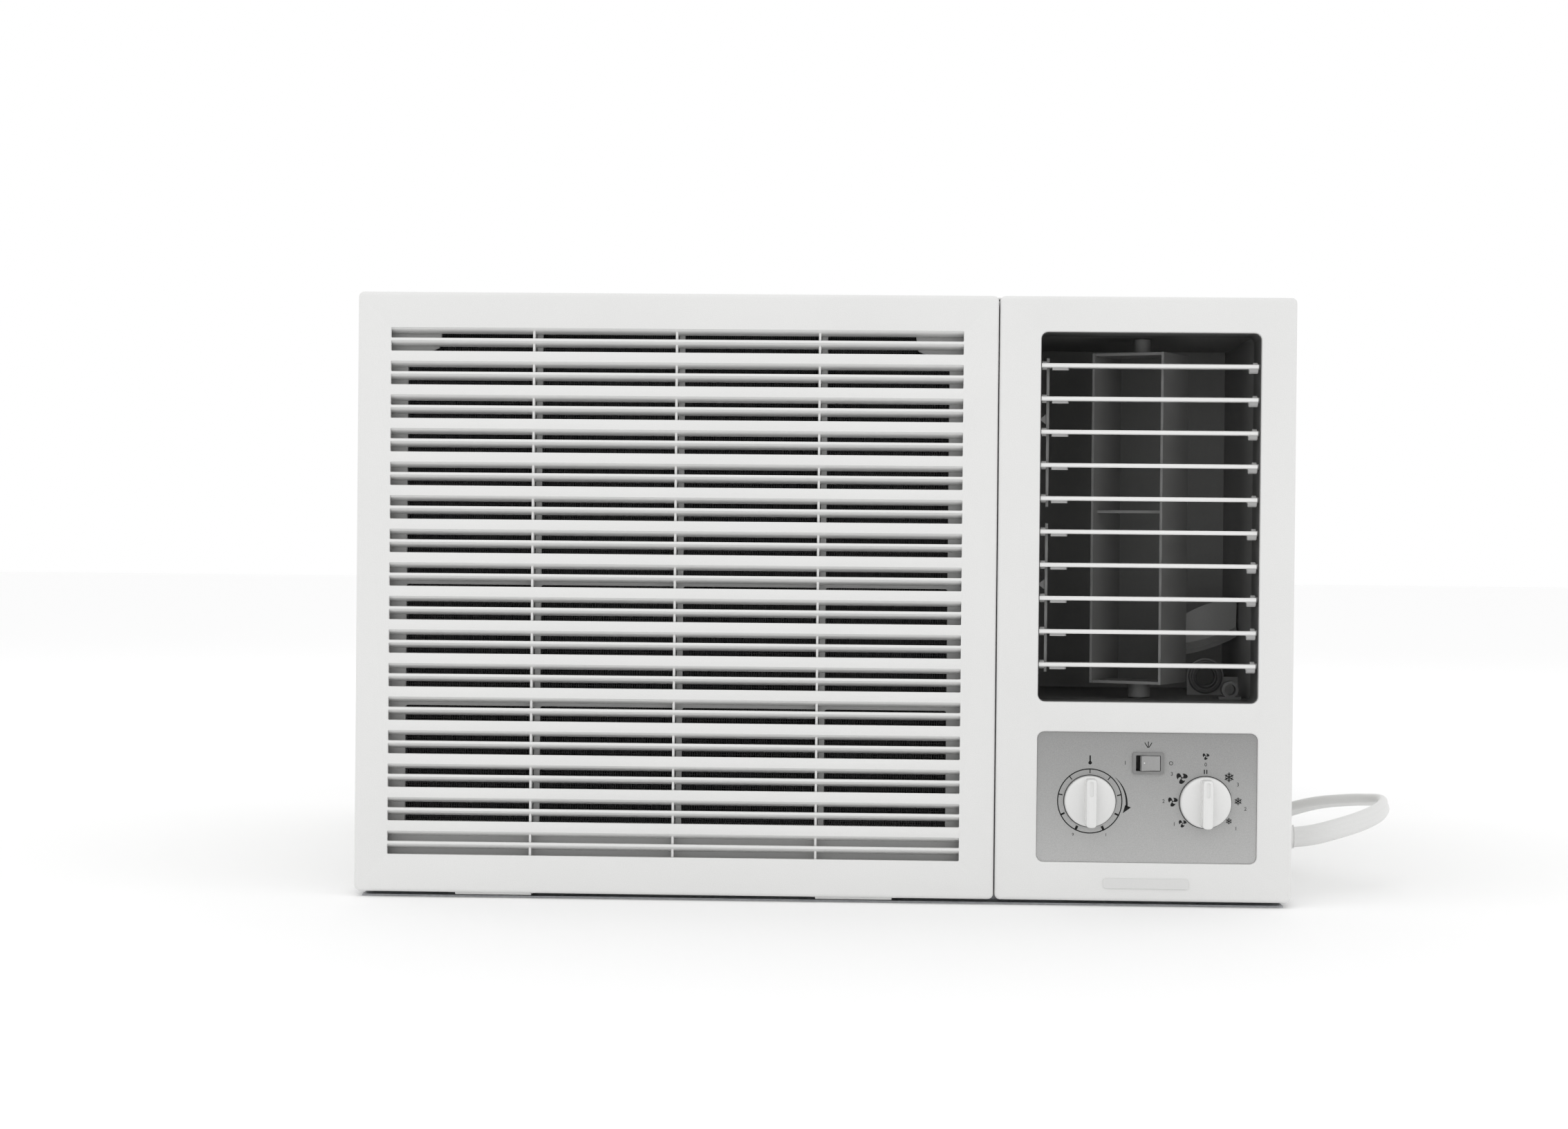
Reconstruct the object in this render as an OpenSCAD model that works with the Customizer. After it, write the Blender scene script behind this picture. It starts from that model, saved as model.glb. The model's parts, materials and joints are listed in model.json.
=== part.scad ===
// Window air conditioner: room air in at the left, cooled air out at the right, outdoor coil at the back.
// Origin: middle of the footprint, on the surface it stands on. +X right, +Y to the back, +Z up.

/* [Overall] */
// Width across the front
unit_w = 660; // [600:5:800]
// Height from the surface it stands on
unit_h = 428; // [420:2:520]
// Depth of the case, front face to rear guard
unit_d = 700; // [590:5:840]

/* [Front fascia] */
// Width of the fixed right-hand side, which holds the outlet and the controls
vent_side_w = 207.5; // [190:0.5:240]
// Depth of the moulded sides behind the front face
fascia_d = 60; // [50:1:70]
// Wall of the plastic mouldings
skin = 2.5; // [2:0.1:3]
// Radius of the corners, seen from the front
corner_r = 4; // [2:0.5:6]
// Height of the base pan that shows under the fascia
pan_lip = 4; // [3:0.5:8]
// Open gap between the intake panel and the fascia
seam_gap = 0.8; // [0.5:0.1:2]

/* [Intake panel] */
// Depth of the panel from face to rim
panel_d = 18; // [17:0.5:22]
// Distance from one pair of air slots to the next
slot_pitch = 23.72; // [20:0.1:30]
// Height of one air slot
slot_h = 7.2; // [5:0.1:8.5]
// Thickness of the slat between the two slots of a pair
slat_t = 2; // [1.5:0.1:3]
// Depth of the slats
slat_d = 10; // [8:0.5:10.5]
// How far a slat falls from front to back
slat_drop = 4.4; // [2:0.1:5]
// Plain border left and right of the slots
slot_side_margin = 23.5; // [20:0.5:40]
// Plain border above the first slot
slot_top_margin = 25.25; // [20:0.25:40]
// Least plain border under the last slot
slot_bottom_margin = 24; // [20:0.5:40]
// Width of the three upright ribs
rib_w = 2.5; // [2:0.1:4]
// Width of each hinge knuckle
knuckle_w = 54; // [30:1:80]
// Distance of the two knuckles from the middle of the panel
knuckle_offset = 127.5; // [80:0.5:150]

/* [Air filter] */
// Thickness of the filter frame with its mesh
filter_t = 5; // [4:0.1:6]
// Width of the upright strips of the filter frame
filter_edge = 19; // [15:0.5:24]
// Width of the inner bars of the filter frame
filter_bar = 7; // [4:0.5:10]

/* [Air outlet] */
// Border between the seam and the outlet
vent_margin_in = 29; // [24:0.5:40]
// Border between the outlet and the right-hand edge
vent_margin_out = 24.5; // [20:0.5:40]
// Border above the outlet
vent_margin_top = 25; // [20:0.5:40]
// Depth of the moulded tunnel behind the outlet
tunnel_d = 40; // [36:1:48]
// Length of a blade from front to back
blade_chord = 28; // [22:0.5:29]
// Thickness of a blade at its front edge
blade_t = 3; // [2:0.1:4]
// Distance of a blade's pivot behind its front edge
blade_pivot_in = 7; // [5:0.5:9]
// Distance of the link pin behind the pivot
crank_arm = 12; // [9:0.5:14]
// Radius of the blade pivot pins
blade_pin_r = 2; // [1.5:0.1:2.5]
// Height of the outlet's edge above the first blade
first_blade_drop = 23.4; // [20:0.1:30]
// Height of the last blade above the outlet's lower edge
last_blade_rise = 26; // [20:0.1:30]

/* [Swing vanes] */
// Distance of the swing axis behind the front face
swing_in = 70; // [69:1:76]
// Distance between the two upright vanes
vane_gap = 52; // [40:1:60]
// Reach of the vanes in front of the swing axis
vane_front = 30; // [24:0.5:31]
// Reach of the vanes behind the swing axis
vane_rear = 25; // [15:0.5:32]
// Angle between the rest position and the middle of the swing
swing_rest = 25; // [10:1:30]
// Length of the lever under the duct
lever_arm = 20; // [15:0.5:24]
// Length of the rod between crank and lever
rod_len = 45; // [40:0.5:50]

/* [Controls] */
// Height of the control plate
plate_h = 91.5; // [88:0.5:100]
// Border between the outlet and the control plate
vent_to_plate = 21; // [16:0.5:40]
// Border under the control plate
plate_margin_bottom = 27; // [20:0.5:40]
// Depth of the pocket that the plate sits in
plate_recess = 2.4; // [2:0.1:3]
// Thickness of the control plate
plate_t = 0.8; // [0.6:0.1:1.2]
// Diameter of the knobs
knob_d = 35.6; // [28:0.2:38]
// How far the knobs stand out of the front face
knob_out = 17; // [12:0.5:22]
// Radius of the knob stems
stem_r = 3; // [2.5:0.1:4]
// Width of the rocker switch frame
switch_w = 21.8; // [18:0.1:24]
// Height of the rocker switch frame
switch_h = 15; // [12:0.1:16]

/* [Case] */
// Thickness of the sheet steel
sheet = 1.2; // [1:0.1:2]
// How far the steel case stands inside the fascia's outline
case_inset = 3; // [3:0.1:5]
// Height of the base pan's rim
pan_rim = 26; // [20:1:30]
// Radius of the four holes that bolt the unit down
sill_hole_r = 3.5; // [3:0.1:5]
// Radius of the two holes for the window frame angle
angle_hole_r = 2.2; // [2:0.1:3]

/* [Air mover] */
// Radius of the room-air blower wheel
wheel_r = 115; // [95:1:120]
// Depth of the blower wheel
wheel_d = 100; // [80:1:105]
// Radius of the outdoor fan
fan_r = 150; // [110:1:155]
// Radius of the motor shaft
shaft_r = 6; // [5:0.5:8]
// Radius of the motor casing
motor_r = 62; // [50:1:66]
// Length of the motor casing
motor_len = 88; // [70:1:95]

/* [Cooling circuit] */
// Depth of the room-side coil
evaporator_d = 56; // [44:1:60]
// Depth of the outdoor coil
condenser_d = 60; // [44:1:62]
// Radius of the compressor
compressor_r = 62; // [50:1:66]
// Height of the compressor shell
compressor_h = 225; // [180:1:250]

/* [Power cord] */
// Width of the flat power cord
cord_w = 15; // [12:0.5:16]
// Thickness of the flat power cord
cord_t = 7.5; // [6:0.1:8]

/* [Hidden] */
$fn = 48;
blade_count = 10;
half_count = blade_count / 2;
blade_names = [for (i = [1 : blade_count]) str("louver_blade_", i)];

gap = 0.5;              // air between pieces that move past each other
fit = 0.1;              // radial clearance of a pin in its hole
eps = 0.01;

// Outer limits
left = -unit_w / 2;
right = unit_w / 2;
front = -(unit_d + knob_out) / 2 + knob_out;
back = front + unit_d;
face_bottom = pan_lip;
face_top = unit_h;
face_h = face_top - face_bottom;

// Front: seam, intake panel and frame behind it
seam_x = right - vent_side_w;
panel_right = seam_x - seam_gap;
panel_w = panel_right - left;
panel_mid = (left + panel_right) / 2;
panel_back = front + panel_d;
frame_y = panel_back + gap;
frame_back = frame_y + skin;
frame_bar = 20;
slot_left = left + slot_side_margin;
slot_right = panel_right - slot_side_margin - 1;
band_h = slot_pitch - 2 * slot_h - slat_t;
slot_pairs = floor((face_h - slot_top_margin - slot_bottom_margin + band_h) / slot_pitch);
slot_tops = [for (i = [0 : slot_pairs - 1], j = [0, 1])
    face_top - slot_top_margin - i * slot_pitch - j * (slot_h + slat_t)];
grille_bottom = slot_tops[2 * slot_pairs - 1] - slot_h;
rib_x = [for (i = [1 : 3]) slot_left + i * (slot_right - slot_left) / 4 - rib_w / 2];

// Panel hinge
hinge_y = front + 6;
hinge_z = face_bottom + 1;
knuckle_r = 3;
hinge_pin_r = 1.5;
knuckle_x = [panel_mid - knuckle_offset, panel_mid + knuckle_offset];

// Filter, which slides up in the panel
filter_y = front + slat_d + 1;
filter_back = filter_y + filter_t;
mesh_t = 0.8;
filter_x = [left + 15, panel_right - 15];
filter_z = [face_bottom + skin + 0.3, face_top - 3];
filter_lip = 6;
filter_side_gap = 0.4;

// Outlet and the column of blades
vent_x = [seam_x + vent_margin_in, right - vent_margin_out];
plate_z = [face_bottom + plate_margin_bottom, face_bottom + plate_margin_bottom + plate_h];
vent_z = [plate_z[1] + vent_to_plate, face_top - vent_margin_top];
vent_r = 5;
blade_pitch = (vent_z[1] - vent_z[0] - first_blade_drop - last_blade_rise) / (blade_count - 1);
blade_front = front + 1.5;
blade_y = blade_front + blade_pivot_in;
blade_x = [vent_x[0] + 0.6, vent_x[1] - 2];
blade_rear_t = 1.6;
link_x = [vent_x[0] + 5, vent_x[0] + 7];
link_y = blade_y + crank_arm;
link_half = 1.9;
link_pin_r = 1.1;
link_stub = 6;
function blade_z(i) = vent_z[1] - first_blade_drop - i * blade_pitch;

// Swing vanes in the duct
duct_wall = 3;
duct_front = front + tunnel_d + gap;
swing_x = (vent_x[0] + vent_x[1]) / 2;
swing_y = front + swing_in;
swing_z = [vent_z[0] + 11, vent_z[1] - 11.5];
vane_t = 1.8;
swing_pin_r = 3;
lever_z = vent_z[0] - duct_wall - gap;
lever_t = 3;
rod_t = 2.5;
rod_z = lever_z - lever_t - gap;
crank_r = lever_arm * sin(swing_rest);
crank_x = swing_x - rod_len;
crank_y = swing_y + lever_arm * cos(swing_rest);
crank_z = rod_z - rod_t - gap;
crank_t = 3;
crank_pin_r = 1.5;
swing_motor_z = crank_z - crank_t - gap;
swing_motor_r = 24;
grommet_x = vent_x[1] - 24;
grommet_y = swing_y + 43;
grommet_z = vent_z[0] + 13.5;

// Controls
plate_floor = front + plate_recess;
plate_front = plate_floor - plate_t;
knob_r = knob_d / 2;
knob_z = plate_z[0] + 43;
thermostat_x = vent_x[0] + 37.2;
selector_x = vent_x[1] - 36;
switch_x = vent_x[0] + 77.8;
switch_z = plate_z[1] - 21.5;
knob_back = plate_front - 0.6;
bushing_r = stem_r + 2.2;
rocker_w = switch_w - 5.2;
rocker_h = switch_h - 4.5;
rocker_y = plate_front + 5;
rocker_tilt = 12;
box_x = [vent_x[0] - 6, vent_x[1] + 6];
box_z = [plate_z[0] - 1, plate_z[1] - 4];
box_y = [plate_floor + skin + 0.2, front + 46];

// Steel case
inset = max(case_inset, skin + gap);
case_x = right - inset;
case_top = face_top - inset;
case_r = corner_r;
pan_x = case_x - sheet - 0.4;
pan_y = [front + 24, back - sheet - 0.3];
case_front = front + fascia_d - 15;
inner_top = case_top - sheet;
sill_x = pan_x - 22;
sill_y = [front + 200, front + 470];
angle_x = case_x - 50;
angle_y = front + fascia_d + 14;
louver_y = [front + 235, back - 215];

// Air mover, all on one axis
shaft_x = panel_mid;
shaft_z = unit_h / 2 + 4;
scroll_y = [front + 96, front + 96 + wheel_d + 18];
scroll_wall = 2;
scroll_r0 = wheel_r + 10;
scroll_grow = 38;
tongue = 25;
wheel_y = scroll_y[0] + 8;
bulkhead_y = scroll_y[1] + gap;
duct_back = scroll_y[1];
motor_y = bulkhead_y + sheet + 14;
shroud_y = [back - 185, back - 82];
fan_y = shroud_y[0] - 12;
fan_d = 44;
shroud_x = pan_x - 28;
shroud_z = [9, inner_top - 10];
collar_r = fan_r + 8;
function scroll_r(a) = scroll_r0 + scroll_grow * (tongue - a) / (270 + tongue);

// Coils
evaporator_y = [front + 34, front + 34 + evaporator_d];
evaporator_x = [left + 30, seam_x - 24];
evaporator_z = [44, unit_h - 34];
condenser_y = [back - 20 - condenser_d, back - 20];
condenser_x = [-shroud_x, shroud_x];
condenser_z = [8, inner_top - 12];
end_plate = 1.5;
bend_r = 4.5;

// Compressor
compressor_x = right - 112;
compressor_y = (bulkhead_y + shroud_y[0]) / 2 - 4;
foot_z = pan_rim / 2 + 5;
foot_t = 3;
foot_ring = compressor_r + 14;
foot_angles = [30, 150, 270];
accumulator_r = 22;
accumulator_x = compressor_x - compressor_r - accumulator_r - 5;
accumulator_h = 130;
drier_r = 9;

// Power cord, in three stretches: beside the case, in the coil behind it, and from the coil to the plug
gland_y = front + 86.5;
gland_z = 42;
gland_out = 20;
coil_centre = [right - 64, back + 96.5];
coil_r = 78;
coil_h = 45;
// Points beside the case: out from the side, behind the gland, height
side_run = [
    [17, 0, 42], [30, 0, 44], [46, 3, 48], [62, 11, 52], [76, 24, 56], [85, 41, 59],
    [89, 60, 61], [87, 80, 62], [79, 97, 61], [67, 111, 59], [53, 126, 56],
    [40, 143, 51], [31, 165, 45], [25, 191, 37], [21, 219, 28], [19, 247, 20],
    [18, 277, 13], [17, 309, 9], [16, 345, 7.5], [15, 385, 7.5], [15, 427, 7.5],
    [15, 471, 7.5], [15, 515, 7.5], [14, 559, 7.5], [14, 603, 7.5], [14, 643, 7.5],
    [14, 679, 7.5]
];
side_reach = 710;
side_stretch = (coil_centre[1] - gland_y) / side_reach;
// Points from the top turn down to the plug, from the middle of the coil
tail_run = [
    [-2, 78, 37.5], [-22, 78, 35], [-42, 76, 29], [-62, 71, 20], [-80, 63, 13], [-94, 54, 10]
];
plug_at = coil_centre + [-94, 54];
plug_turn = 212;

// A block given by its low and high limit on each axis
module block(x, y, z) {
    translate([x[0], y[0], z[0]]) cube([x[1] - x[0], y[1] - y[0], z[1] - z[0]]);
}

module rod_x(x, y, z, r) {
    translate([x[0], y, z]) rotate([0, 90, 0]) cylinder(h = x[1] - x[0], r = r);
}

module rod_y(x, y, z, r) {
    translate([x, y[0], z]) rotate([-90, 0, 0]) cylinder(h = y[1] - y[0], r = r);
}

module rod_z(x, y, z, r) {
    translate([x, y, z[0]]) cylinder(h = z[1] - z[0], r = r);
}

module round_outline(x, z, r) {
    translate([x[0] + r, z[0]]) square([x[1] - x[0] - 2 * r, z[1] - z[0]]);
    translate([x[0], z[0] + r]) square([x[1] - x[0], z[1] - z[0] - 2 * r]);
    for (cx = [x[0] + r, x[1] - r], cz = [z[0] + r, z[1] - r]) translate([cx, cz]) circle(r);
}

// An outline drawn in X and Z, made solid from y[0] to y[1]
module across(y) {
    translate([0, y[1], 0]) rotate([90, 0, 0]) linear_extrude(y[1] - y[0]) children();
}

module round_block(x, y, z, r) {
    across(y) round_outline(x, z, r);
}

// Straight lengths of tube with a ball at each corner
module tube_run(points, r) {
    for (i = [0 : len(points) - 2]) {
        step = points[i + 1] - points[i];
        translate(points[i]) rotate([0, acos(step[2] / norm(step)), atan2(step[1], step[0])])
            cylinder(h = norm(step), r = r);
    }
    for (i = [1 : len(points) - 2]) translate(points[i]) sphere(r * 1.04);
}

// ---- Front ----

module fascia_outer() {
    difference() {
        round_block([left, right], [front, front + fascia_d], [face_bottom, face_top], corner_r);
        round_block([left + skin, right - skin], [front - 1, front + fascia_d + 1],
            [face_bottom + skin, face_top - skin], corner_r - skin / 2);
        // the intake panel takes the front of the left-hand side
        block([left - 1, seam_x], [front - 1, frame_y], [0, face_top + 1]);
        // the sides stand over the base pan
        block([left - 1, right + 1], [front + 20, front + fascia_d + 1], [0, face_bottom + skin + 1]);
    }
}

module fascia_front() {
    difference() {
        union() {
            round_block([seam_x, right], [front, front + skin], [face_bottom, face_top], corner_r);
            block([seam_x, seam_x + skin], [front, front + 22], [face_bottom + 1, face_top - 1]);
            block([seam_x, seam_x + skin], [front + 22 - eps, case_front - gap], [pan_rim + 4, face_top - 1]);
            block([left + 1, seam_x + skin], [frame_y, frame_back], [face_bottom + 1, face_top - 1]);
            block([vent_x[0] - skin, vent_x[1] + skin], [front, front + tunnel_d],
                [vent_z[0] - skin, vent_z[1] + skin]);
            block([vent_x[0] - skin, vent_x[1] + skin], [front, plate_floor + skin],
                [plate_z[0] - skin, plate_z[1] + skin]);
        }
        round_block(vent_x, [front - 1, front + tunnel_d + 1], vent_z, vent_r);
        round_block(vent_x, [front - 1, plate_floor], plate_z, vent_r);
        for (x = [thermostat_x, selector_x])
            rod_y(x, [front - 1, front + tunnel_d], knob_z, bushing_r + 0.4);
        block([switch_x - rocker_w / 2 - 1.4, switch_x + rocker_w / 2 + 1.4],
            [front - 1, front + tunnel_d], [switch_z - rocker_h / 2 - 1.4, switch_z + rocker_h / 2 + 1.4]);
        block([left + frame_bar, seam_x - frame_bar], [frame_y - 1, frame_back + 1],
            [pan_rim + 6, face_top - frame_bar]);
        latch_pockets();
        blade_pin_holes();
    }
}

module latch_pockets() {
    for (x = [left + 34, panel_right - 34])
        block([x - 7, x + 7], [frame_y - 1, frame_back + 1], [face_top - 15, face_top - 7]);
}

module blade_pin_holes() {
    for (i = [0 : blade_count - 1])
        rod_x([vent_x[0] - skin - 1, vent_x[1] + skin + 1], blade_y, blade_z(i), blade_pin_r + fit);
}

module panel_knuckles() {
    for (x = knuckle_x) difference() {
        union() {
            rod_x([x - knuckle_w / 2, x + knuckle_w / 2], hinge_y, hinge_z, knuckle_r);
            block([x - knuckle_w / 2, x + knuckle_w / 2], [hinge_y, frame_back],
                [hinge_z - knuckle_r, hinge_z - knuckle_r + 1.6]);
            block([x - knuckle_w / 2, x + knuckle_w / 2], [frame_y, frame_back],
                [hinge_z - knuckle_r, face_bottom + skin + 2]);
        }
        rod_x([x - knuckle_w, x + knuckle_w], hinge_y, hinge_z, hinge_pin_r + fit);
    }
}

module front_fascia() {
    color("whitesmoke") {
        fascia_outer();
        fascia_front();
        panel_knuckles();
    }
}

module control_plate() {
    color("darkgray") difference() {
        round_block([vent_x[0] + 0.2, vent_x[1] - 0.2], [plate_front, plate_floor],
            [plate_z[0] + 0.2, plate_z[1] - 0.2], vent_r - 0.2);
        for (x = [thermostat_x, selector_x]) rod_y(x, [front, plate_floor + 1], knob_z, bushing_r + 0.4);
        block([switch_x - rocker_w / 2 - 1.4, switch_x + rocker_w / 2 + 1.4],
            [front, plate_floor + 1], [switch_z - rocker_h / 2 - 1.4, switch_z + rocker_h / 2 + 1.4]);
    }
}

module nameplate() {
    plate_w = 60;
    x = (vent_x[0] + vent_x[1]) / 2;
    z = (face_bottom + plate_z[0]) / 2 - 1;
    color("lightgray") round_block([x - plate_w / 2, x + plate_w / 2], [front - 0.8, front],
        [z - 3.5, z + 3.5], 2);
}

// Outline in Y and Z of the slat over one slot
module slat_outline(top) {
    polygon([
        [front, top], [front + slat_d, top - slat_drop],
        [front + slat_d, top - slat_drop + 1.6], [front + 1, top + slat_t], [front, top + slat_t]
    ]);
}

module panel_slats() {
    translate([slot_left - 1, 0, 0]) rotate([90, 0, 90]) linear_extrude(slot_right - slot_left + 2)
        for (top = slot_tops) slat_outline(top);
    for (x = rib_x) block([x, x + rib_w], [front + 1, front + slat_d], [grille_bottom - 1, slot_tops[0] + 1]);
}

module panel_hinge_lugs() {
    for (x = knuckle_x) {
        rod_x([x - knuckle_w / 2 - 3.5, x + knuckle_w / 2 + 3.5], hinge_y, hinge_z, hinge_pin_r);
        for (s = [-1, 1]) {
            lug_x = x + s * (knuckle_w / 2 + 2.1);
            block([lug_x - 1.5, lug_x + 1.5], [front + 1, hinge_y + 2.4], [hinge_z - 0.9, hinge_z + 5]);
        }
    }
}

module intake_panel() {
    color("whitesmoke") {
        difference() {
            round_block([left, panel_right], [front, panel_back], [face_bottom, face_top], corner_r);
            round_block([left + skin, panel_right - skin], [front + skin, panel_back + 1],
                [face_bottom + skin, face_top - skin], corner_r - skin / 2);
            for (top = slot_tops)
                block([slot_left, slot_right], [front - 1, front + skin + 1], [top - slot_h, top]);
            // the filter comes out through the top
            block([filter_x[0] - gap, filter_x[1] + gap], [filter_y - gap, filter_back + gap],
                [face_top - skin - 1, face_top + 1]);
            for (x = knuckle_x)
                block([x - knuckle_w / 2 - 0.6, x + knuckle_w / 2 + 0.6], [front + skin, panel_back + 1],
                    [face_bottom - 1, face_bottom + skin + 2]);
        }
        panel_slats();
        panel_hinge_lugs();
        filter_channels();
        for (x = [left + 34, panel_right - 34])
            block([x - 5, x + 5], [filter_back + gap, frame_back + 3], [face_top - 13, face_top - 10]);
    }
}

// Upright strips behind the filter's edges, open at the top
module filter_channels() {
    lip_z = [face_bottom + skin, face_top - skin];
    block([left + skin - eps, filter_x[0] + filter_lip], [filter_back + gap, panel_back], lip_z);
    block([filter_x[1] - filter_lip, panel_right - skin + eps], [filter_back + gap, panel_back], lip_z);
    for (x = [left + 34, panel_right - 34])
        block([x - 8, x + 8], [filter_back + gap, panel_back], [face_top - 16, face_top - skin + eps]);
}

module filter_frame() {
    y = [filter_y, filter_back - mesh_t];
    inner_x = [filter_x[0] + filter_edge, filter_x[1] - filter_edge];
    inner_z = [filter_z[0] + 45, filter_z[1] - 14];
    bar_z = [face_top - 291, face_top - 205];
    color("gainsboro") {
        difference() {
            block(filter_x, y, filter_z);
            block(inner_x, [y[0] - 1, y[1] + 1], inner_z);
        }
        for (x = rib_x) block([x + 2.5, x + 2.5 + filter_bar], y, [inner_z[0] - 1, inner_z[1] + 1]);
        for (z = bar_z) block([inner_x[0] - 1, inner_x[1] + 1], y, [z - 1.5, z + 1.5]);
        // corner plates at the top
        for (s = [0, 1]) translate([inner_x[s], y[1], inner_z[1]]) mirror([s, 0, 0]) rotate([90, 0, 0])
            linear_extrude(y[1] - y[0]) polygon([[-1, 1], [26, 1], [22, -22], [-1, -32]]);
    }
}

module filter_mesh() {
    color("dimgray") block([filter_x[0] + 4, filter_x[1] - 4], [filter_back - mesh_t, filter_back],
        [filter_z[0] + 30, filter_z[1] - 4]);
}

// ---- Outlet ----

// Outline in Y and Z of a blade, with its pivot at the origin
module blade_outline() {
    r1 = blade_t / 2;
    r2 = blade_rear_t / 2;
    y1 = r1 - blade_pivot_in;
    y2 = blade_chord - blade_pivot_in - r2;
    translate([y1, 0]) circle(r1);
    translate([y2, 0]) circle(r2);
    polygon([[y1, r1], [y1, -r1], [y2, -r2], [y2, r2]]);
}

module louver_blade(i) {
    slot_x = [link_x[0] - 0.6, link_x[1] + 0.6];
    color("white") translate([0, blade_y, blade_z(i)]) {
        difference() {
            union() {
                translate([blade_x[0], 0, 0]) rotate([90, 0, 90]) linear_extrude(blade_x[1] - blade_x[0])
                    blade_outline();
                // rounded boss at the right-hand end
                translate([blade_x[1] - 7, -blade_pivot_in + 2.5, -1]) rotate([0, 90, 0])
                    cylinder(h = 7, r = 2.6);
                rod_x([blade_x[1] - 7, blade_x[1]], 0, 0, blade_pin_r + 1.2);
                rod_x([blade_x[0], slot_x[0]], 0, 0, blade_pin_r + 1);
            }
            block(slot_x, [crank_arm - link_half - 2.6, blade_chord], [-10, 10]);
            block([blade_x[0] - 1, slot_x[1]], [crank_arm + 3.4, blade_chord], [-10, 10]);
        }
        rod_x([vent_x[0] - skin + 0.3, vent_x[0] + 2], 0, 0, blade_pin_r);
        rod_x([blade_x[1] - 1, vent_x[1] + skin - 0.3], 0, 0, blade_pin_r);
        rod_x([slot_x[0] - 1, slot_x[1] + 1], crank_arm, 0, link_pin_r);
    }
}

module link_bar(first) {
    last = first + half_count - 1;
    top = blade_z(first) + link_stub;
    bottom = blade_z(last) - link_stub;
    tab_z = blade_z(first) - 1.6 * blade_pitch;
    color("silver") {
        difference() {
            block(link_x, [link_y - link_half, link_y + link_half], [bottom, top]);
            for (i = [first : last])
                rod_x([link_x[0] - 1, link_x[1] + 1], link_y, blade_z(i), link_pin_r + fit);
        }
        translate([link_x[0] + eps, link_y + 1, tab_z]) rotate([90, 0, 0]) linear_extrude(2)
            polygon([[0, 4], [-4, 0.8], [-4, -0.8], [0, -4]]);
    }
}

module link_bar_upper() {
    link_bar(0);
}

module link_bar_lower() {
    link_bar(half_count);
}

module swing_vanes() {
    z = swing_z;
    for (s = [-1, 1]) {
        x = s * vane_gap / 2;
        block([x - vane_t / 2, x + vane_t / 2], [-vane_front, vane_rear], z);
    }
    reach = vane_gap / 2 + vane_t / 2;
    for (top = [z[0] + 2, z[1]]) block([-reach, reach], [-vane_front + 2, 8], [top - 2, top]);
    brace_z = z[0] + 0.52 * (z[1] - z[0]);
    block([-reach + 1, reach - 1], [-vane_front + 8, -vane_front + 14], [brace_z - 1, brace_z + 1]);
    rod_z(0, 0, [z[1] - eps, vent_z[1] - gap], 6);
    rod_z(0, 0, [z[1], vent_z[1] + duct_wall - 0.3], swing_pin_r);
    rod_z(0, 0, [vent_z[0] + gap, z[0] + eps], 8);
    rod_z(0, 0, [lever_z - lever_t, z[0]], swing_pin_r);
}

module swing_frame() {
    color("gray") translate([swing_x, swing_y, 0]) rotate([0, 0, -swing_rest]) {
        swing_vanes();
        difference() {
            union() {
                rod_z(0, 0, [lever_z - lever_t, lever_z], 6);
                block([-3.5, 3.5], [0, lever_arm], [lever_z - lever_t, lever_z]);
                rod_z(0, lever_arm, [lever_z - lever_t, lever_z], 3.5);
            }
            rod_z(0, lever_arm, [lever_z - lever_t - 1, lever_z + 1], crank_pin_r + fit);
        }
    }
}

module swing_crank() {
    color("ivory") translate([crank_x, crank_y, 0]) difference() {
        union() {
            rod_z(0, 0, [crank_z - crank_t, crank_z], crank_r + 4);
            rod_z(crank_r, 0, [crank_z - eps, rod_z + 0.3], crank_pin_r);
        }
        rod_z(0, 0, [crank_z - crank_t - 1, crank_z - 0.8], 2.1);
    }
}

module swing_rod() {
    z = [rod_z - rod_t, rod_z];
    x0 = crank_x + crank_r;
    color("gainsboro") difference() {
        union() {
            rod_z(x0, crank_y, z, 3.6);
            rod_z(x0 + rod_len, crank_y, z, 3.6);
            block([x0, x0 + rod_len], [crank_y - 2.5, crank_y + 2.5], z);
        }
        for (x = [x0, x0 + rod_len]) rod_z(x, crank_y, [z[0] - 1, z[1] + 1], crank_pin_r + fit);
    }
}

module swing_motor() {
    z = [swing_motor_z - 22, swing_motor_z];
    color("lightslategray") {
        rod_z(crank_x, crank_y, z, swing_motor_r);
        rod_z(crank_x, crank_y, [z[1] - eps, crank_z - 1.2], 2);
        block([crank_x - 6, crank_x + 6], [crank_y - 33, crank_y + 33], [z[1] - 3, z[1] - 1.5]);
        for (s = [-1, 1]) rod_z(crank_x, crank_y + s * 29, [z[1] - 2, vent_z[0] - duct_wall], 3);
    }
}

module duct_boss(cut) {
    // bracket low in the right-hand corner of the duct that the wiring comes through
    x = grommet_x;
    z = grommet_z;
    y = [grommet_y, grommet_y + 4];
    if (cut) rod_y(x, [y[0] - 1, y[1] + 1], z, 9);
    else {
        rod_y(x, y, z, 13.5);
        block([x - 13.5, vent_x[1] + eps], y, [vent_z[0] - eps, z]);
    }
}

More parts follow.
